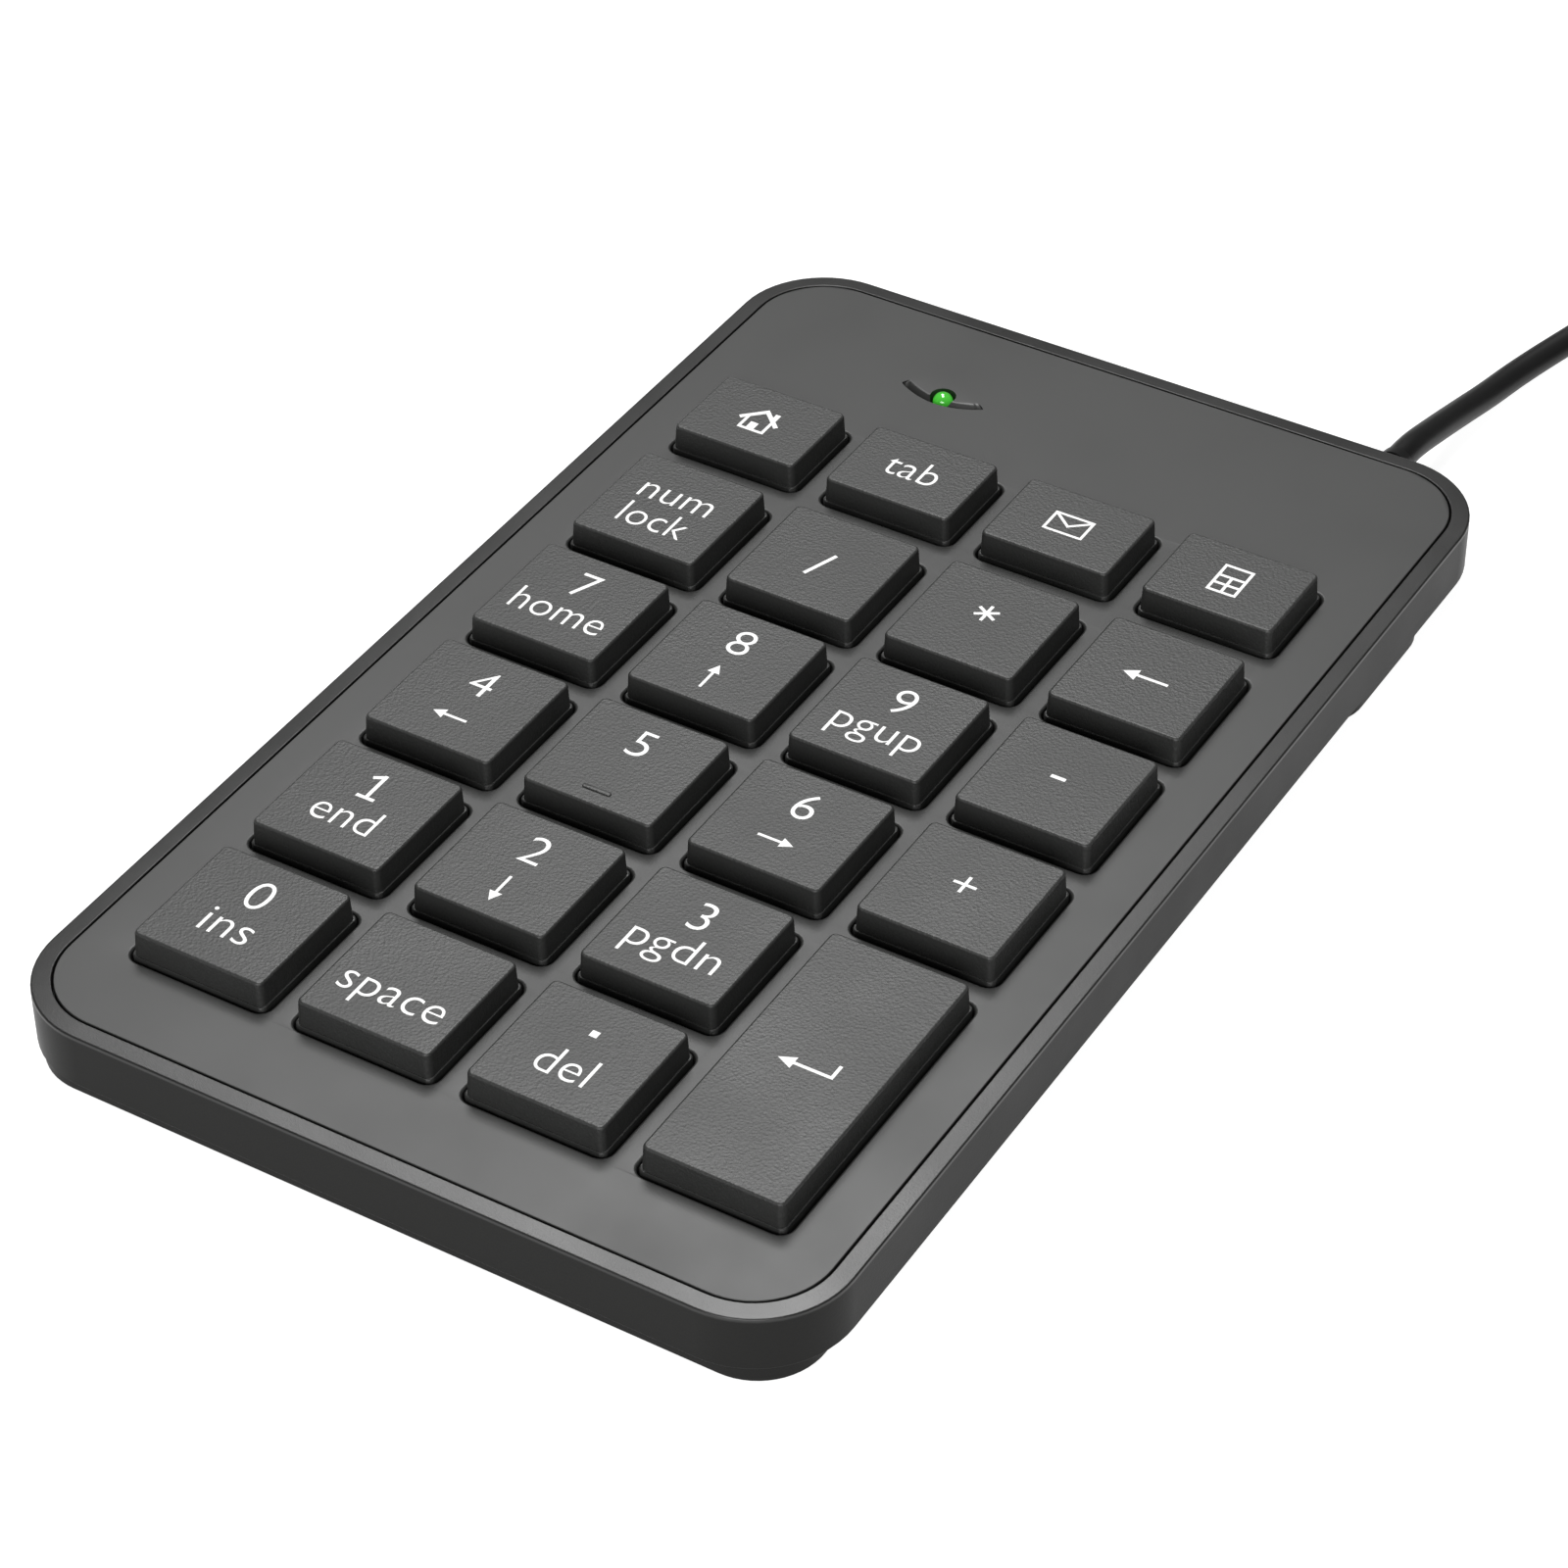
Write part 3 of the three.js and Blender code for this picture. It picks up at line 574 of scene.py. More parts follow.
def arrow(bm, x, y, degrees, length, head_length, head_width, shaft):
    """An arrow centred on x, y. At 0 degrees it points right."""
    half, neck = length / 2, length / 2 - head_length
    outline = [
        (-half, -shaft / 2),
        (neck, -shaft / 2),
        (neck, -head_width / 2),
        (half, 0),
        (neck, head_width / 2),
        (neck, shaft / 2),
        (-half, shaft / 2),
    ]
    plate(bm, turned_by(outline, degrees), x, y)


SMALL_ARROW = (4.0, 1.35, 1.4, 0.32)
SMALL_ARROWS = {"4": (180, -3.1), "6": (0, -3.0), "8": (90, -3.4), "2": (-90, -3.5)}
WORDS = {"7": ("home", 10.9), "9": ("pgup", 9.9), "1": ("end", 7.1), "3": ("pgdn", 9.9), "0": ("ins", 5.5)}
WORD_BASELINE = -3.9
DIGIT_Y = 2.85


def one(bm, x, y):
    """The digit 1 with its flag and foot."""
    rise, width = LEGEND["digit"], 0.42
    stroke(bm, (0.15, 0), (0.15, rise), x, y, width)
    stroke(bm, (-0.95, width / 2), (1.15, width / 2), x, y, width)
    outline_strokes(bm, [(0.1, rise - 0.25), (-0.8, rise - 0.75)], x, y, width)


def digit_legend(bm, label, x, y):
    baseline = y + DIGIT_Y - LEGEND["digit"] / 2
    if label == "1":
        one(bm, x, baseline)
    else:
        write(bm, label, x, baseline, LEGEND["digit"] / DIGIT_HEIGHT)
    if label in WORDS:
        word, width = WORDS[label]
        write(bm, word, x, y + WORD_BASELINE, LEGEND["x_height"] / X_HEIGHT, width)
    if label in SMALL_ARROWS:
        degrees, rise = SMALL_ARROWS[label]
        arrow(bm, x, y + rise, degrees, *SMALL_ARROW)


def house(bm, x, y):
    y -= 0.3
    outline_strokes(bm, [(-2.1, -0.05), (0, 1.95), (2.1, -0.05)], x, y, 0.52)
    outline_strokes(bm, [(-1.45, 0.3), (-1.45, -1.8), (1.45, -1.8), (1.45, 0.3)], x, y, 0.36)
    stroke(bm, (1.35, 0.7), (1.35, 2.0), x, y, 0.6)
    stroke(bm, (-0.2, -1.7), (-0.2, -0.45), x, y, 0.95)


def envelope(bm, x, y):
    corners = [(-2.2, -1.55), (2.2, -1.55), (2.2, 1.55), (-2.2, 1.55), (-2.2, -1.55)]
    outline_strokes(bm, corners, x, y, 0.32)
    outline_strokes(bm, [(-2.1, 1.45), (0, -0.25), (2.1, 1.45)], x, y, 0.32)


def calculator(bm, x, y):
    width = 0.34
    frame_corners = [(-1.55, -2.25), (1.55, -2.25), (1.55, 2.25), (-1.55, 2.25), (-1.55, -2.25)]
    outline_strokes(bm, frame_corners, x, y, width)
    for rise in (0.45, -0.9):
        stroke(bm, (-1.5, rise), (1.5, rise), x, y, width)
    stroke(bm, (0, -2.2), (0, 0.4), x, y, width)


def cross(bm, x, y, reach, arms, width):
    for i in range(arms):
        (point,) = turned_by([(reach, 0)], 180 * i / arms + (90 if arms == 3 else 0))
        stroke(bm, (-point[0], -point[1]), point, x, y, width)


def enter_arrow(bm, x, y):
    y -= 0.6
    arrow(bm, x, y, 180, 5.9, 1.7, 1.6, LEGEND["stroke"])
    riser_x = 5.9 / 2 - LEGEND["stroke"] / 2
    stroke(bm, (riser_x, -LEGEND["stroke"] / 2), (riser_x, 1.8), x, y)


def decimal_legend(bm, x, y):
    plate(bm, [(-0.42, -0.42), (0.42, -0.42), (0.42, 0.42), (-0.42, 0.42)], x, y + 2.84)
    write(bm, "del", x, y + WORD_BASELINE, LEGEND["x_height"] / X_HEIGHT, 5.7)


def word_legend(content, width, baseline):
    def draw(bm, x, y):
        write(bm, content, x, y + baseline, LEGEND["x_height"] / X_HEIGHT, width)

    return draw


def num_lock_legend(bm, x, y):
    word_legend("num", 8.6, 0.2)(bm, x, y)
    word_legend("lock", 7.9, -4.64)(bm, x, y)


def slash(bm, x, y):
    stroke(bm, (-0.75, -0.57 - 2.1), (0.75, -0.57 + 2.1), x, y, 0.42)


DRAWINGS = {
    "home_page": house,
    "tab": word_legend("tab", 6.2, -1.53),
    "mail": envelope,
    "calculator": calculator,
    "num_lock": num_lock_legend,
    "divide": slash,
    "multiply": lambda bm, x, y: cross(bm, x, y + 0.93, 1.35, 3, 0.36),
    "backspace": lambda bm, x, y: arrow(bm, x, y - 0.3, 180, 5.1, 1.6, 1.75, 0.36),
    "minus": lambda bm, x, y: stroke(bm, (-0.82, 0.27), (0.82, 0.27), x, y, 0.45),
    "plus": lambda bm, x, y: cross(bm, x, y + 0.6, 1.25, 2, 0.35),
    "enter": enter_arrow,
    "space": word_legend("space", 11.4, -3.8),
    "decimal": decimal_legend,
}


def legend(label):
    x, y, _, _ = key_frame(label)
    bm = bmesh.new()
    if label in DRAWINGS:
        DRAWINGS[label](bm, x, y)
    else:
        digit_legend(bm, label, x, y)
    piece(f"legend_{label}", bm, f"key_{label}", "light_plastic", sharp=30, material=PRINT)


for label in LABELS:
    legend(label)

# ---- Key panel ----

PANEL_LOW, PANEL_HIGH = mm_box("top_cover")
CASE_LOW, CASE_HIGH = mm_box("lower_case")
CASE_CORNER = 10.3
CASE_WIDTH = CASE_HIGH.x - CASE_LOW.x
CASE_LENGTH = CASE_HIGH.y - CASE_LOW.y
RIM_Z = PANEL_HIGH.z
WELL_Z = PANEL_LOW.z
PANEL_Z = 7.3
PANEL_EDGE = 0.1
WELL = {"margin": 0.7, "corner": 1.4, "edge": 0.3, "floor": 4.95, "web": 0.8}
GUIDE = {"inside": 5.3, "outside": 7.0, "z": 7.6}
LAMP_LOW, LAMP_HIGH = mm_box("num_lock_lamp")
LAMP_X, LAMP_Y = (LAMP_LOW.x + LAMP_HIGH.x) / 2, (LAMP_LOW.y + LAMP_HIGH.y) / 2
LAMP = {"x": LAMP_X, "y": LAMP_Y, "radius": 1.15, "hole": 1.45, "top": LAMP_HIGH.z}
SCOOP = {"left": -21, "right": -10.7, "tip": 58.4, "front": 56.7, "back": 61.6}
SCOOP_FALL = {"dip": 0.06, "drop": 1.2, "run": 1.1, "tip_fade": 1.5}
CASE_SCREWS = [(-36, 62), (36, 62), (-39.6, -6.7), (39.6, -6.7), (-22, -67), (22, -67)]


def key_well(bm, label):
    """A key's opening with its floor and stem guide. Gives its loops on the panel's top and underside."""
    x, y, width, length = key_frame(label)
    width, length = width + 2 * WELL["margin"], length + 2 * WELL["margin"]
    edge = WELL["edge"]

    def hole(inset, z):
        corner = max(WELL["corner"] - inset, 0.3)
        return rounded(width - 2 * inset, length - 2 * inset, corner, x, y), z

    def guide(size, z, corner=0.4):
        return rounded(size, size, corner, x, y), z

    levels = [hole(-inset, RIM_Z - drop) for inset, drop in quarter(edge, 3)]
    levels += [
        hole(0, WELL["floor"] + 0.25),
        hole(0.25, WELL["floor"]),
        guide(GUIDE["outside"] + 0.4, WELL["floor"], 0.6),
        guide(GUIDE["outside"], WELL["floor"] + 0.2),
        guide(GUIDE["outside"], GUIDE["z"] - 0.15),
        guide(GUIDE["outside"] - 0.3, GUIDE["z"]),
        guide(GUIDE["inside"] + 0.3, GUIDE["z"]),
        guide(GUIDE["inside"], GUIDE["z"] - 0.15),
        guide(GUIDE["inside"], WELL_Z),
    ]
    rings = stack(bm, levels, first=False, last=False)
    return rings[0], rings[-1]


def scoop_lids(x):
    """The front and back edge of the scoop round the lamp, at x."""
    t = (x - SCOOP["left"]) / (SCOOP["right"] - SCOOP["left"])
    front = SCOOP["tip"] - (SCOOP["tip"] - SCOOP["front"]) * math.sin(math.pi * t) ** 0.85
    back = SCOOP["tip"] + (SCOOP["back"] - SCOOP["tip"]) * math.sin(math.pi * t**0.8)
    return front, back


def scoop_height(x, y):
    """The scoop sinks very slowly from its back edge, and drops steeply just before its front one."""
    front, back = scoop_lids(min(max(x, SCOOP["left"]), SCOOP["right"]))
    length = max(back - front, 0.01)
    fade = min(1, length / SCOOP_FALL["tip_fade"])
    sunk = SCOOP_FALL["dip"] * min(max((back - y) / length, 0), 1) ** 2
    steep = max(1 - max(y - front, 0) / SCOOP_FALL["run"], 0)
    return RIM_Z - fade * (sunk + SCOOP_FALL["drop"] * steep)


def scoop_outline(count, grow):
    """Points round the scoop's edge, seen from the lamp at equal angles."""
    outline = []
    for i in range(count):
        angle = 2 * math.pi * i / count
        dx, dy = math.cos(angle), math.sin(angle)
        near, far = 0.0, 7.0
        for _ in range(30):
            middle = (near + far) / 2
            x, y = LAMP["x"] + middle * dx, LAMP["y"] + middle * dy
            inside = SCOOP["left"] < x < SCOOP["right"]
            if inside:
                front, back = scoop_lids(x)
                inside = front < y < back
            near, far = (middle, far) if inside else (near, middle)
        outline.append((LAMP["x"] + (near + grow) * dx, LAMP["y"] + (near + grow) * dy))
    return outline


def lamp_scoop(bm):
    """The scoop with the lamp's hole. Gives its loops on the panel's top and underside."""
    count, bands = 144, 20
    edge = scoop_outline(count, 0)
    hole = circle(LAMP["x"], LAMP["y"], LAMP["hole"], count)
    rings = [ring(bm, scoop_outline(count, grow), RIM_Z) for grow in (0.6, 0.3, 0.05)]
    for band in range(bands + 1):
        t = (band / bands) ** 2
        points = [(a[0] + (b[0] - a[0]) * t, a[1] + (b[1] - a[1]) * t) for a, b in zip(edge, hole)]
        rings.append([bm.verts.new((x, y, scoop_height(x, y))) for x, y in points])
    rings.append(ring(bm, hole, PANEL_Z))
    for a, b in zip(rings, rings[1:]):
        bridge(bm, a, b)
    return rings[0], rings[-1]


def key_panel():
    bm = bmesh.new()
    loops = [key_well(bm, label) for label in LABELS]
    scoop_top, scoop_bottom = lamp_scoop(bm)
    width, length = PANEL_HIGH.x - PANEL_LOW.x, PANEL_HIGH.y - PANEL_LOW.y
    corner = CASE_CORNER - (CASE_WIDTH - width) / 2

    def outline(inset, z):
        return rounded(width - 2 * inset, length - 2 * inset, corner - inset, steps=14), z

    levels = [outline(inset, RIM_Z - drop) for inset, drop in quarter(PANEL_EDGE)]
    rim = stack(bm, [*levels, outline(0, PANEL_Z + 0.1), outline(0.1, PANEL_Z)], first=False, last=False)
    fill(bm, [rim[0], scoop_top, *(top for top, _ in loops)])
    boxes = [key_frame(label) for label in LABELS]
    reach = WELL["margin"] + WELL["web"]
    x1 = max(x + w / 2 for x, _, w, _ in boxes) + reach
    y0 = min(y - h / 2 for _, y, _, h in boxes) - reach
    y1 = max(y + h / 2 for _, y, _, h in boxes) + reach
    wells = rounded(2 * x1, y1 - y0, 0.6, 0, (y0 + y1) / 2)
    walls = stack(bm, [(wells, PANEL_Z), (wells, WELL_Z)], first=False, last=False)
    fill(bm, [rim[-1], walls[0], scoop_bottom])
    fill(bm, [walls[1], *(bottom for _, bottom in loops)])
    for x, y in CASE_SCREWS:
        tube_shell(bm, x, y, 2.2, 1.05, WELL_Z, PANEL_Z + 0.4)
    piece("key_panel", bm, "case", "panel_plastic", ("top_cover",), 35)


key_panel()

# ---- Tub ----

PAN = {"side": 1.6, "end": 1, "corner": 7, "z": 0.6, "edge": 0.3}
WALL = {"z": 2.75, "thick": 2.3, "rim": 2.0, "edge": 0.22, "inner_edge": 0.12, "lower_edge": 0.1, "fall": 0.1}
FLOOR_Z = 2.0
RISER = {"y": 47.6, "straight": 6, "corner": 5, "reach": 43.95}
RISER_STEPS = [-9.2, -8.6, -8, -7.2, -6.4, -5.5, -3, 0, 3, 5.5, 6.4, 7.2, 8, 8.6, 9.2]
FOOT_BOXES = [mm_box(f"rubber_foot_{i}") for i in range(1, 5)]
FEET = [((low.x + high.x) / 2, (low.y + high.y) / 2) for low, high in FOOT_BOXES]
SCREW_WELL = {"counterbore": 2.2, "seat": 2.4, "hole": 1.15, "outside": 3.0, "top": 4.1}
FOOT_RECESS = {"radius": 4.65, "z": 1.05}
LABEL_RECESS_Z = 0.8
BOARD_POST = {"x": (-13.5, 9.5), "y": 53.6, "radius": 1.9, "pilot": 0.95, "top": 2.6}
RIB = {"width": 1.6, "reach": 1.5, "side_y": (-45, 20, 56), "end_x": (-12, 12)}
LABEL_LOW, LABEL_HIGH = mm_box("rating_label")
LABEL_CENTRE = ((LABEL_LOW.x + LABEL_HIGH.x) / 2, (LABEL_LOW.y + LABEL_HIGH.y) / 2)


def riser_swell(y, side):
    """How far the riser pad stands out past the pan's side, at y."""
    past = max(abs(y - RISER["y"]) - RISER["straight"], 0)
    if past >= RISER["corner"]:
        return 0
    edge = RISER["reach"] - RISER["corner"] + math.sqrt(RISER["corner"] ** 2 - past**2)
    return max(edge - side, 0)


def tub_outline(inset_x, inset_y, corner, swell):
    """The case's outline, with points along its sides where the riser pads swell."""
    width, length = CASE_WIDTH - 2 * inset_x, CASE_LENGTH - 2 * inset_y
    pan_side = CASE_WIDTH / 2 - PAN["side"]
    sides = []
    for offset in RISER_STEPS:
        y = RISER["y"] + offset
        sides.append((width / 2 + swell * riser_swell(y, pan_side), y))
    i, j = width / 2 - corner, length / 2 - corner
    steps = 14
    return (
        arc(i, -j, corner, -90, 0, steps)
        + sides
        + arc(i, j, corner, 0, 90, steps)
        + arc(-i, j, corner, 90, 180, steps)
        + [(-x, y) for x, y in reversed(sides)]
        + arc(-i, -j, corner, 180, 270, steps)
    )


def tub():
    bm = bmesh.new()
    levels = []
    for inset, drop in quarter(PAN["edge"]):
        shape = tub_outline(PAN["side"] + inset, PAN["end"] + inset, PAN["corner"] - inset, 1)
        levels.append((shape, PAN["z"] + drop))
    levels.append((tub_outline(PAN["side"], PAN["end"], PAN["corner"], 1), WALL["z"]))
    for inset, drop in quarter(WALL["lower_edge"]):
        levels.append((tub_outline(inset, inset, CASE_CORNER - inset, 0), WALL["z"] + drop))
    for inset, drop in reversed(quarter(WALL["edge"])):
        levels.append((tub_outline(inset, inset, CASE_CORNER - inset, 0), RIM_Z - WALL["fall"] - drop))
    thick = WALL["thick"]
    for inset, drop in quarter(WALL["inner_edge"]):
        reach = WALL["rim"] - inset
        levels.append((tub_outline(reach, reach, CASE_CORNER - reach, 0), RIM_Z - drop))
    for reach in (WALL["rim"], thick):
        levels.append((tub_outline(reach, reach, CASE_CORNER - reach, 0), PANEL_Z))
    levels.append((tub_outline(thick, thick, CASE_CORNER - thick, 0), FLOOR_Z + 0.4))
    levels.append((tub_outline(thick + 0.4, thick + 0.4, CASE_CORNER - thick - 0.4, 0), FLOOR_Z))
    rings = stack(bm, levels, first=False, last=False)
    under, inside = [rings[0]], [rings[-1]]
    bore, seat, hole, outside, top = SCREW_WELL.values()
    profile = [(bore + 0.15, PAN["z"]), (bore, PAN["z"] + 0.15), (bore, seat), (hole, seat), (hole, top)]
    profile += [(outside - 0.1, top), (outside, top - 0.1), (outside, FLOOR_Z)]
    for x, y in CASE_SCREWS:
        well = stack(bm, [(circle(x, y, r, 32), z) for r, z in profile], first=False, last=False)
        under.append(well[0])
        inside.append(well[-1])
    radius, recess_z = FOOT_RECESS.values()
    profile = [(radius + 0.15, PAN["z"]), (radius, PAN["z"] + 0.15), (radius, recess_z)]
    for x, y in FEET:
        under.append(stack(bm, [(circle(x, y, r, 48), z) for r, z in profile], first=False)[0])
    size = (LABEL_HIGH.x - LABEL_LOW.x + 1, LABEL_HIGH.y - LABEL_LOW.y + 1)
    recess = [
        (rounded(size[0] + 0.1, size[1] + 0.1, 2.05, *LABEL_CENTRE), PAN["z"]),
        (rounded(*size, 2, *LABEL_CENTRE), LABEL_RECESS_Z),
    ]
    under.append(stack(bm, recess, first=False)[0])
    strip_low, strip_high = mm_box("tail_pressure_strip")
    middle, span = (strip_low + strip_high) / 2, strip_high - strip_low
    groove = rounded(span.x + 0.2, span.y + 0.2, 0.2, middle.x, middle.y, 2)
    inside.append(stack(bm, [(groove, FLOOR_Z), (groove, strip_low.z)], first=False)[0])
    fill(bm, under)
    fill(bm, inside)
    root_z = FLOOR_Z - 0.2
    places, y, radius, pilot, top = BOARD_POST.values()
    for x in places:
        tube_shell(bm, x, y, radius, pilot, root_z, top)
    side, end = CASE_WIDTH / 2 - thick, CASE_LENGTH / 2 - thick
    for y in RIB["side_y"]:
        block(bm, side - RIB["reach"], side + 0.3, y, y + RIB["width"], root_z, PANEL_Z)
        block(bm, -side - 0.3, RIB["reach"] - side, y, y + RIB["width"], root_z, PANEL_Z)
    for x in RIB["end_x"]:
        block(bm, x, x + RIB["width"], end - RIB["reach"], end + 0.3, root_z, PANEL_Z)
        block(bm, x, x + RIB["width"], -end - 0.3, RIB["reach"] - end, root_z, PANEL_Z)
    piece("case_tub", bm, "case", "case_plastic", ("lower_case",), 35)


tub()

# ---- Feet, screws and label ----


def rubber_foot(index, x, y):
    profile = [(3.2, 0.12), (3.5, 0), (4.2, 0), (4.42, 0.1), (4.5, 0.3), (4.5, 1.0)]
    bm = bmesh.new()
    lathe(bm, profile, x, y, 64)
    piece(f"foot_pad_{index}", bm, "case", "rubber", (f"rubber_foot_{index}",), 50)


for index, (x, y) in enumerate(FEET, 1):
    rubber_foot(index, x, y)


def cross_screw(index, x, y):
    """A pan-headed screw seen from below, with a tapering cross recess and a ridged shank."""
    low, high = mm_box(f"case_screw_{index}")
    head = low.z
    bm = bmesh.new()

    def cross_shape(reach, half):
        quarter_arm = [(half, -reach), (half, -half), (reach, -half)]
        points = []
        for turn in range(4):
            points += turned_by(quarter_arm, 90 * turn)
        return [(x + i, y + j) for i, j in points]

    face = ring(bm, circle(x, y, 1.6, 36), head)
    slot_edge = ring(bm, cross_shape(1.05, 0.24), head)
    slot_floor = ring(bm, cross_shape(0.5, 0.16), head + 0.9)
    fill(bm, [face, slot_edge])
    bridge(bm, slot_edge, slot_floor)
    bm.faces.new(slot_floor)
    profile = [(1.85, head + 0.12), (2.0, head + 0.4), (2.0, head + 1.4), (0.95, head + 1.4)]
    pitch = 0.7
    for turn in range(5):
        z = head + 1.7 + turn * pitch
        profile += [(0.75, z), (0.95, z + 0.3), (0.75, z + 0.55)]
    profile += [(0.7, high.z - 0.5), (0.15, high.z)]
    rings = [face] + [ring(bm, circle(x, y, r, 36), z) for r, z in profile]
    for a, b in zip(rings, rings[1:]):
        bridge(bm, a, b)
    bm.faces.new(rings[-1])
    piece(f"screw_{index}", bm, "case", "steel", (f"case_screw_{index}",), 30)


for index, (x, y) in enumerate(CASE_SCREWS, 1):
    cross_screw(index, x, y)


def blank_label():
    size = (LABEL_HIGH.x - LABEL_LOW.x, LABEL_HIGH.y - LABEL_LOW.y)
    bm = bmesh.new()
    outline = rounded(*size, 1.5, *LABEL_CENTRE, 8)
    stack(bm, [(outline, LABEL_LOW.z), (outline, LABEL_HIGH.z)])
    piece("blank_label", bm, "case", "label", ("rating_label",))


blank_label()

# ---- Lamp ----


def lamp():
    """A clear lamp with a domed end, standing a little below the edge of its hole."""
    radius, top, foot_z = LAMP["radius"], LAMP["top"], 4.4
    dome_z = top - radius
    profile = [(0.9, 3.8), (0.9, foot_z), (radius + 0.4, foot_z), (radius + 0.4, foot_z + 0.8)]
    profile += [(radius, foot_z + 0.8), (radius, dome_z)]
    for step in range(1, 12):
        angle = math.radians(90 * step / 12)
        profile.append((radius * math.cos(angle), dome_z + radius * math.sin(angle)))
    profile.append((0.03, top))
    bm = bmesh.new()
    lathe(bm, profile, LAMP["x"], LAMP["y"], 48)
    piece("lamp_lens", bm, "case", "green_lamp", ("num_lock_lamp",), 40)


lamp()

# ---- Domes ----

DOME = {"base": 3.4, "top": 1.7, "height": 6.0, "skin": 0.6, "low": 2.65, "sheet": 3.1, "hole": 2.8}


def dome_sheet():
    low, high = mm_box("dome_sheet")
    bm = bmesh.new()
    outline = rounded(high.x - low.x, high.y - low.y, 2, (low.x + high.x) / 2, (low.y + high.y) / 2)
    rim = stack(bm, [(outline, DOME["low"]), (outline, DOME["sheet"])], first=False, last=False)
    lower, upper = [rim[0]], [rim[1]]
    for label in LABELS:
        x, y, _, _ = key_frame(label)
        hole = circle(x, y, DOME["hole"], 32)
        walls = stack(bm, [(hole, DOME["low"]), (hole, DOME["sheet"])], first=False, last=False)
        lower.append(walls[0])
        upper.append(walls[1])
    fill(bm, lower)
    fill(bm, upper)
    piece("silicone_sheet", bm, "case", "dome_silicone", ("dome_sheet",))


def dome(label):
    """A hollow silicone dome at rest, with a mesh of its own. The real one folds down onto its sheet as its
    key is pressed.
    """
    x, y, _, _ = key_frame(label)
    base, top, skin = DOME["base"], DOME["top"], DOME["skin"]
    low, high = DOME["sheet"], DOME["height"]
    profile = [(0.1, high - skin), (top - 0.3, high - skin), (top, high - 1.4)]
    profile += [(base - 0.9, low + 0.5), (base - skin, low), (base, low), (base - 0.25, low + 0.5)]
    profile += [(top + 0.5, high - 0.8), (top + 0.15, high - 0.2), (top, high)]
    bm = bmesh.new()
    lathe(bm, profile, x, y, 32)
    made = piece(f"dome_{label}", bm, "case", "dome_silicone", ("dome_sheet",), 60)
    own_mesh(made)


dome_sheet()
for label in LABELS:
    dome(label)

# ---- Enter key's stabiliser ----

ENTER_X, ENTER_Y, _, _ = key_frame("enter")
WIRE_RADIUS = 0.45
WIRE_X = 4.6  # how far the bar and its ends lie from the key's middle


def stabilizer_wire():
    """The bar that keeps the long key level, bent from wire, with its turned ends in the panel's lugs."""
    half = [
        (-4.6, 14.6, 6.2),
        (-4.6, 12.4, 6.2),
        (-3.7, 11.5, 6.45),
        (3.7, 11.5, 8.45),
        (4.6, 10.6, 8.7),
        (4.6, 9.7, 8.7),
        (4.6, 0, 8.7),
    ]
    points = half + [(x, -y, z) for x, y, z in reversed(half[:-1])]
    centre = Vector((ENTER_X, ENTER_Y, 0))
    line = spline_points([centre + Vector(p) for p in points], 8)
    round_wire("stabilizer_bar", line, WIRE_RADIUS, "enter_stabilizer", "steel", ("enter_stabilizer_wire",))


def stabilizer_clips():
    """The cap's two clips, each a block with a slot that the bar slides in."""
    bm = bmesh.new()
    for side in (-8, 8):
        y = ENTER_Y + side
        x = ENTER_X + WIRE_X
        for edge in (-1, 1):
            outer, inner = x + edge * 1.5, x + edge * 0.95
            block(bm, min(outer, inner), max(outer, inner), y - 1, y + 1, 7.7, 10.85, 0.1)
        block(bm, x - 0.95, x + 0.95, y - 1, y + 1, 7.7, 8.1, 0.1)
        block(bm, x - 0.95, x + 0.95, y - 1, y + 1, 9.3, 10.85, 0.1)
    piece("enter_clips", bm, "key_enter", "key_plastic")


def stabilizer_lugs():
    """The panel's two lugs with the holes that the bar's ends turn in."""
    bm = bmesh.new()
    for side in (-13.2, 13.2):
        rings = []
        for y in (ENTER_Y + side - 0.6, ENTER_Y + side + 0.6):
            x = ENTER_X - WIRE_X
            outer = [bm.verts.new((x + i, y, 6.05 + j)) for i, j in rounded(2.4, 2.3, 0.4, steps=9)]
            inner = [bm.verts.new((x + i, y, 6.2 + j)) for i, j in circle(0, 0, 0.65, 40)]
            rings.append((outer, inner))
        (outer_a, inner_a), (outer_b, inner_b) = rings
        bridge_round(bm, [outer_a, outer_b, inner_b, inner_a])
    piece("stabilizer_lugs", bm, "case", "panel_plastic")


stabilizer_wire()
stabilizer_clips()
stabilizer_lugs()

# ---- Strain relief, tie and plug ----


def strain_relief():
    """A short moulded boot with two grooves, and the flange that holds it in the case's wall."""
    low, high = mm_box("strain_relief")
    centre = (low + high) / 2
    wall_out = CASE_HIGH.y + 0.1
    end = high.y
    profile = [(1.4, low.y), (2.0, low.y), (2.0, low.y + 1.1), (1.7, low.y + 1.1), (1.7, wall_out)]
    boot = [(2.3, 0), (2.3, 0.7), (2.0, 0.8), (1.95, 1.2), (2.15, 1.3), (2.1, 1.9), (1.85, 2.0), (1.8, 2.4)]
    boot += [(2.0, 2.5), (1.9, 3.1), (1.75, end - wall_out)]
    profile += [(r, wall_out + along) for r, along in boot]
    profile += [(1.62, end), (1.62, end - 0.6)]
    bm = bmesh.new()
    lathe(bm, profile, 0, 0, 36)
    turn = Matrix.Translation((centre.x * MM, 0, centre.z * MM)) @ Matrix.Rotation(-math.pi / 2, 4, "X")
    return piece("cord_boot", bm, "case", "cord_rubber", ("strain_relief",), 50, turn)


TIE = {"degrees": 70, "width": 4, "thickness": 0.4, "inner": 8.2, "outer": 30.6, "rise": 7.4}


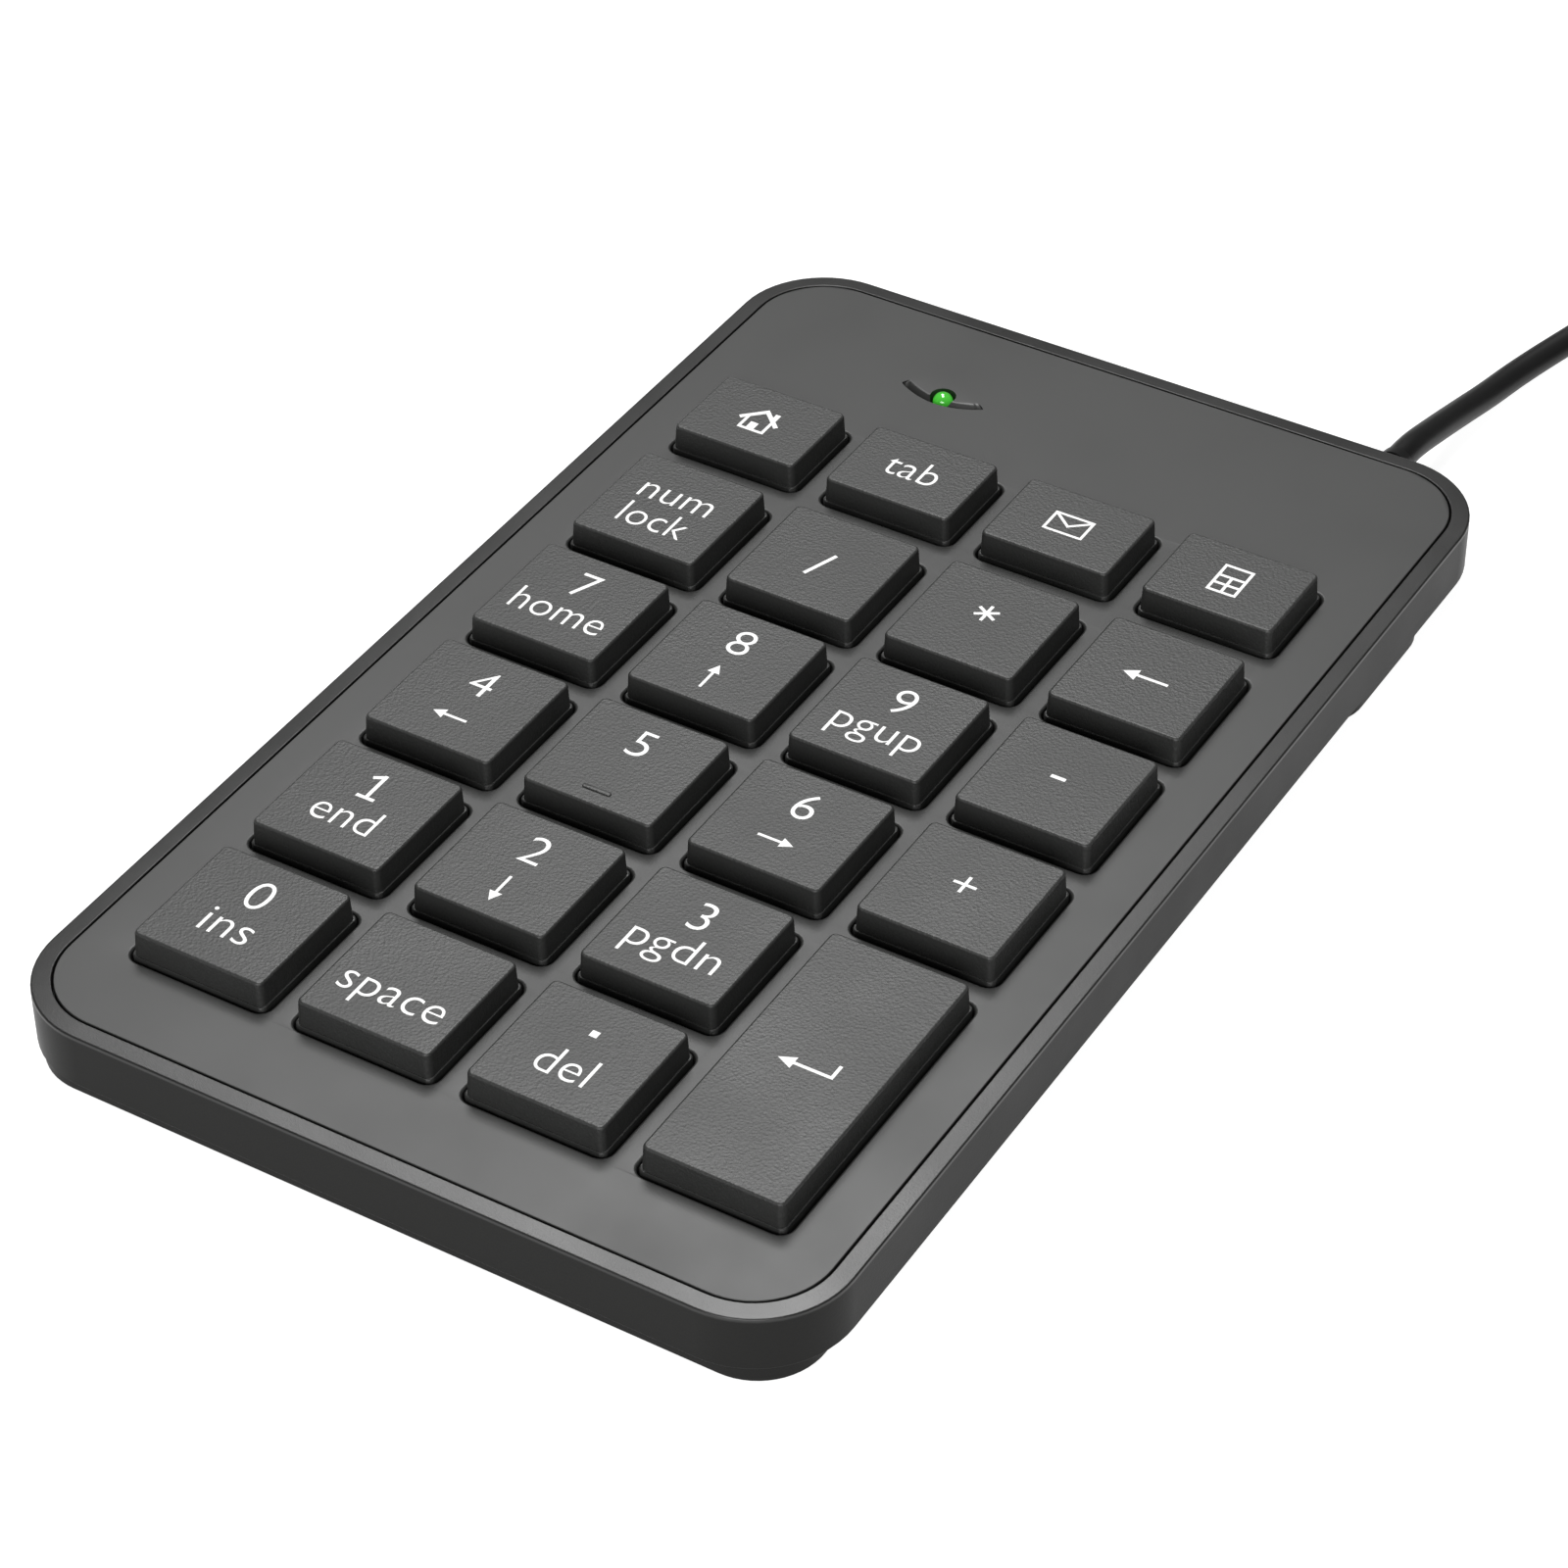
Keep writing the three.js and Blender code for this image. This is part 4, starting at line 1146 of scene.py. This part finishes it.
def cord_tie():
    """A flat strap round the coil's turns."""
    middle, span = (TIE["inner"] + TIE["outer"]) / 2, TIE["outer"] - TIE["inner"] + 1.2
    rise = TIE["rise"]
    bm = bmesh.new()
    loops = []
    for along in (-TIE["width"] / 2, TIE["width"] / 2):
        outer = rounded(span + 2 * TIE["thickness"], rise, 2.2, middle, rise / 2, 8)
        inner = rounded(span, rise - 2 * TIE["thickness"], 1.8, middle, rise / 2, 8)
        loops.append([[bm.verts.new((i, along, j)) for i, j in shape] for shape in (outer, inner)])
    (outer_a, inner_a), (outer_b, inner_b) = loops
    bridge_round(bm, [outer_a, outer_b, inner_b, inner_a])
    turn = Matrix.Translation((COIL["x"] * MM, COIL["y"] * MM, 0))
    turn = turn @ Matrix.Rotation(math.radians(TIE["degrees"]), 4, "Z")
    return piece("coil_strap", bm, "case", "rubber", ("cord_tie",), 40, turn)


# In the plug's own frame z runs from the cord to the tip.
PLUG_PLACE = Vector((PLUG["x"], PLUG["y"], PLUG["z"])) * MM
PLUG_TURN = Matrix.Translation(PLUG_PLACE) @ Matrix.Rotation(math.pi / 2, 4, "X")
GRIP = {"width": 15.4, "height": 7.8, "corner": 2.2, "start": 8, "end": 32}
SHELL = {"width": 12, "height": 4.5, "wall": 0.3, "start": 29.3, "end": 44.3}
WINDOW = 2.5


def plug_grip():
    """The moulded grip with its tapering, grooved neck, and shallow finger ribs on its flat sides."""
    bm = bmesh.new()

    def level(width, height, corner, z):
        return rounded(width, height, corner, steps=6), z

    levels = [level(3.3, 3.3, 1.64, 0.6), level(3.3, 3.3, 1.64, 0), level(3.8, 3.8, 1.9, 0)]
    for groove in range(3):
        z = 0.9 + 2.2 * groove
        size = 4.0 + 0.8 * groove
        for grow, step in ((0, 0), (0.5, 1.2), (-0.2, 1.3), (-0.1, 2.0)):
            levels.append(level(size + grow, size + grow, size / 2 - 0.1, z + step))
    width, height, corner, start, end = GRIP.values()
    levels += [level(6.8, 6.4, 2.6, start - 0.3), level(width - 2.4, height - 0.9, corner, start)]
    levels.append(level(width - 0.8, height - 0.2, corner, start + 0.8))
    levels.append(level(width, height, corner, start + 2))
    for rib in range(4):
        z = 13 + 2.6 * rib
        for inset, step in ((0, 0), (0.35, 0.3), (0.35, 1.0), (0, 1.3)):
            levels.append(level(width - 2 * inset, height, corner, z + step))
    levels += [level(width, height, corner, end - 0.5), level(width - 0.8, height - 0.8, corner - 0.3, end)]
    pocket = (SHELL["width"] + 0.6, SHELL["height"] + 0.6)
    levels += [level(*pocket, 0.4, end), level(*pocket, 0.4, end - 2.9)]
    stack(bm, levels)
    return piece("usb_grip", bm, "case", "cord_rubber", ("plug_grip",), 40, PLUG_TURN)


def plug_shell():
    """The folded sheet shell, with two windows through each flat side."""
    width, height, wall = SHELL["width"], SHELL["height"], SHELL["wall"]
    outer = rounded(width, height, 0.5, steps=3)
    inner = rounded(width - 2 * wall, height - 2 * wall, 0.25, steps=3)
    start, end = SHELL["start"], SHELL["end"]
    bm = bmesh.new()
    levels = ((outer, start), (outer, end), (inner, end), (inner, start))
    bridge_round(bm, [ring(bm, *level) for level in levels])
    made = piece("usb_shell", bm, "case", "plug_steel", ("plug_shell",), 30, PLUG_TURN)
    cutter_bm = bmesh.new()
    for x in (-2.6, 2.6):
        block(cutter_bm, x - WINDOW / 2, x + WINDOW / 2, -4, 4, end - 7.3, end - 5, 0.1)
    cutter_mesh = to_mesh("window_cutter", cutter_bm)
    cutter_mesh.transform(PLUG_TURN)
    cutter = bpy.data.objects.new("window_cutter", cutter_mesh)
    scene.collection.objects.link(cutter)
    cut = made.modifiers.new("windows", "BOOLEAN")
    cut.object = cutter
    cut.solver = "EXACT"
    while made.modifiers[0] != cut:
        made.modifiers.move(made.modifiers.find("windows"), 0)
    evaluated = made.evaluated_get(bpy.context.evaluated_depsgraph_get())
    cut_mesh = bpy.data.meshes.new_from_object(evaluated)
    made.modifiers.clear()
    made.data = cut_mesh
    bpy.data.objects.remove(cutter)
    return made


def plug_tongue():
    bm = bmesh.new()
    width = SHELL["width"] - 2 * SHELL["wall"] - 0.6
    height = SHELL["height"] - 2 * SHELL["wall"] - 0.6
    start = SHELL["start"]
    block(bm, -width / 2, width / 2, -height / 2, height / 2, start + 0.5, start + 4, 0.15)
    block(bm, -width / 2, width / 2, height / 2 - 1.7, height / 2, start + 3.8, start + 14, 0.2)
    return piece("usb_tongue", bm, "case", "light_plastic", ("plug_tongue",), 30, PLUG_TURN)


def plug_contacts():
    bm = bmesh.new()
    height = SHELL["height"] - 2 * SHELL["wall"] - 0.6
    low = height / 2 - 1.7
    for x, reach in ((-3.5, 13.2), (-1, 12.2), (1, 12.2), (3.5, 13.2)):
        block(bm, x - 0.5, x + 0.5, low - 0.08, low + 0.02, SHELL["start"] + 4, SHELL["start"] + reach, 0.04)
    return piece("usb_contacts", bm, "case", "plug_steel", sharp=30, turn=PLUG_TURN, material=GOLD)


on_cord = [strain_relief(), cord_tie(), plug_grip(), plug_shell(), plug_tongue(), plug_contacts()]

# ---- CAD nodes that stay ----

for subpart in frame["record"]["subparts"]:
    node = frame["nodes"][subpart["node"]]
    node.data.materials.clear()
    node.data.materials.append(MATERIAL[subpart["material_slot"]])

# ---- Stage and light ----


def make_floor():
    mesh = bpy.data.meshes.new("floor")
    reach, low = 6.0, -0.0002
    corners = [(-reach, -reach), (reach, -reach), (reach, reach), (-reach, reach)]
    mesh.from_pydata([(x, y, low) for x, y in corners], [], [(0, 1, 2, 3)])
    material = bpy.data.materials.new("pale_floor")
    material.use_nodes = True
    shader = material.node_tree.nodes["Principled BSDF"]
    shader.inputs["Base Color"].default_value = (0.3, 0.3, 0.3, 1)
    shader.inputs["Roughness"].default_value = 1.0
    shader.inputs["Emission Color"].default_value = (1, 1, 1, 1)
    shader.inputs["Emission Strength"].default_value = 0.93
    mesh.materials.append(material)
    floor = bpy.data.objects.new("floor", mesh)
    scene.collection.objects.link(floor)


def make_light(name, azimuth, elevation, distance, width, height, power):
    """A soft light aimed at the keypad. Azimuth 0 is behind it, and positive to the right."""
    a, e = math.radians(azimuth), math.radians(elevation)
    towards = Vector((math.sin(a) * math.cos(e), math.cos(a) * math.cos(e), math.sin(e)))
    data = bpy.data.lights.new(name, "AREA")
    data.shape = "RECTANGLE"
    data.size = width
    data.size_y = height
    data.energy = power
    light = bpy.data.objects.new(name, data)
    light.location = towards * distance
    light.rotation_euler = towards.to_track_quat("Z", "Y").to_euler()
    scene.collection.objects.link(light)


def make_world(level):
    world = bpy.data.worlds.new("studio")
    world.use_nodes = True
    world.node_tree.nodes["Background"].inputs["Color"].default_value = (level, level, level, 1)
    scene.world = world


make_floor()
make_light("back_softbox", -33, 63, 1.2, 0.4, 0.75, 12.5)
make_light("overhead_softbox", -33, 84, 1.2, 0.4, 0.4, 4.5)
make_light("front_fill", 160, 22, 1.5, 1.2, 0.8, 17)
make_world(0.05)
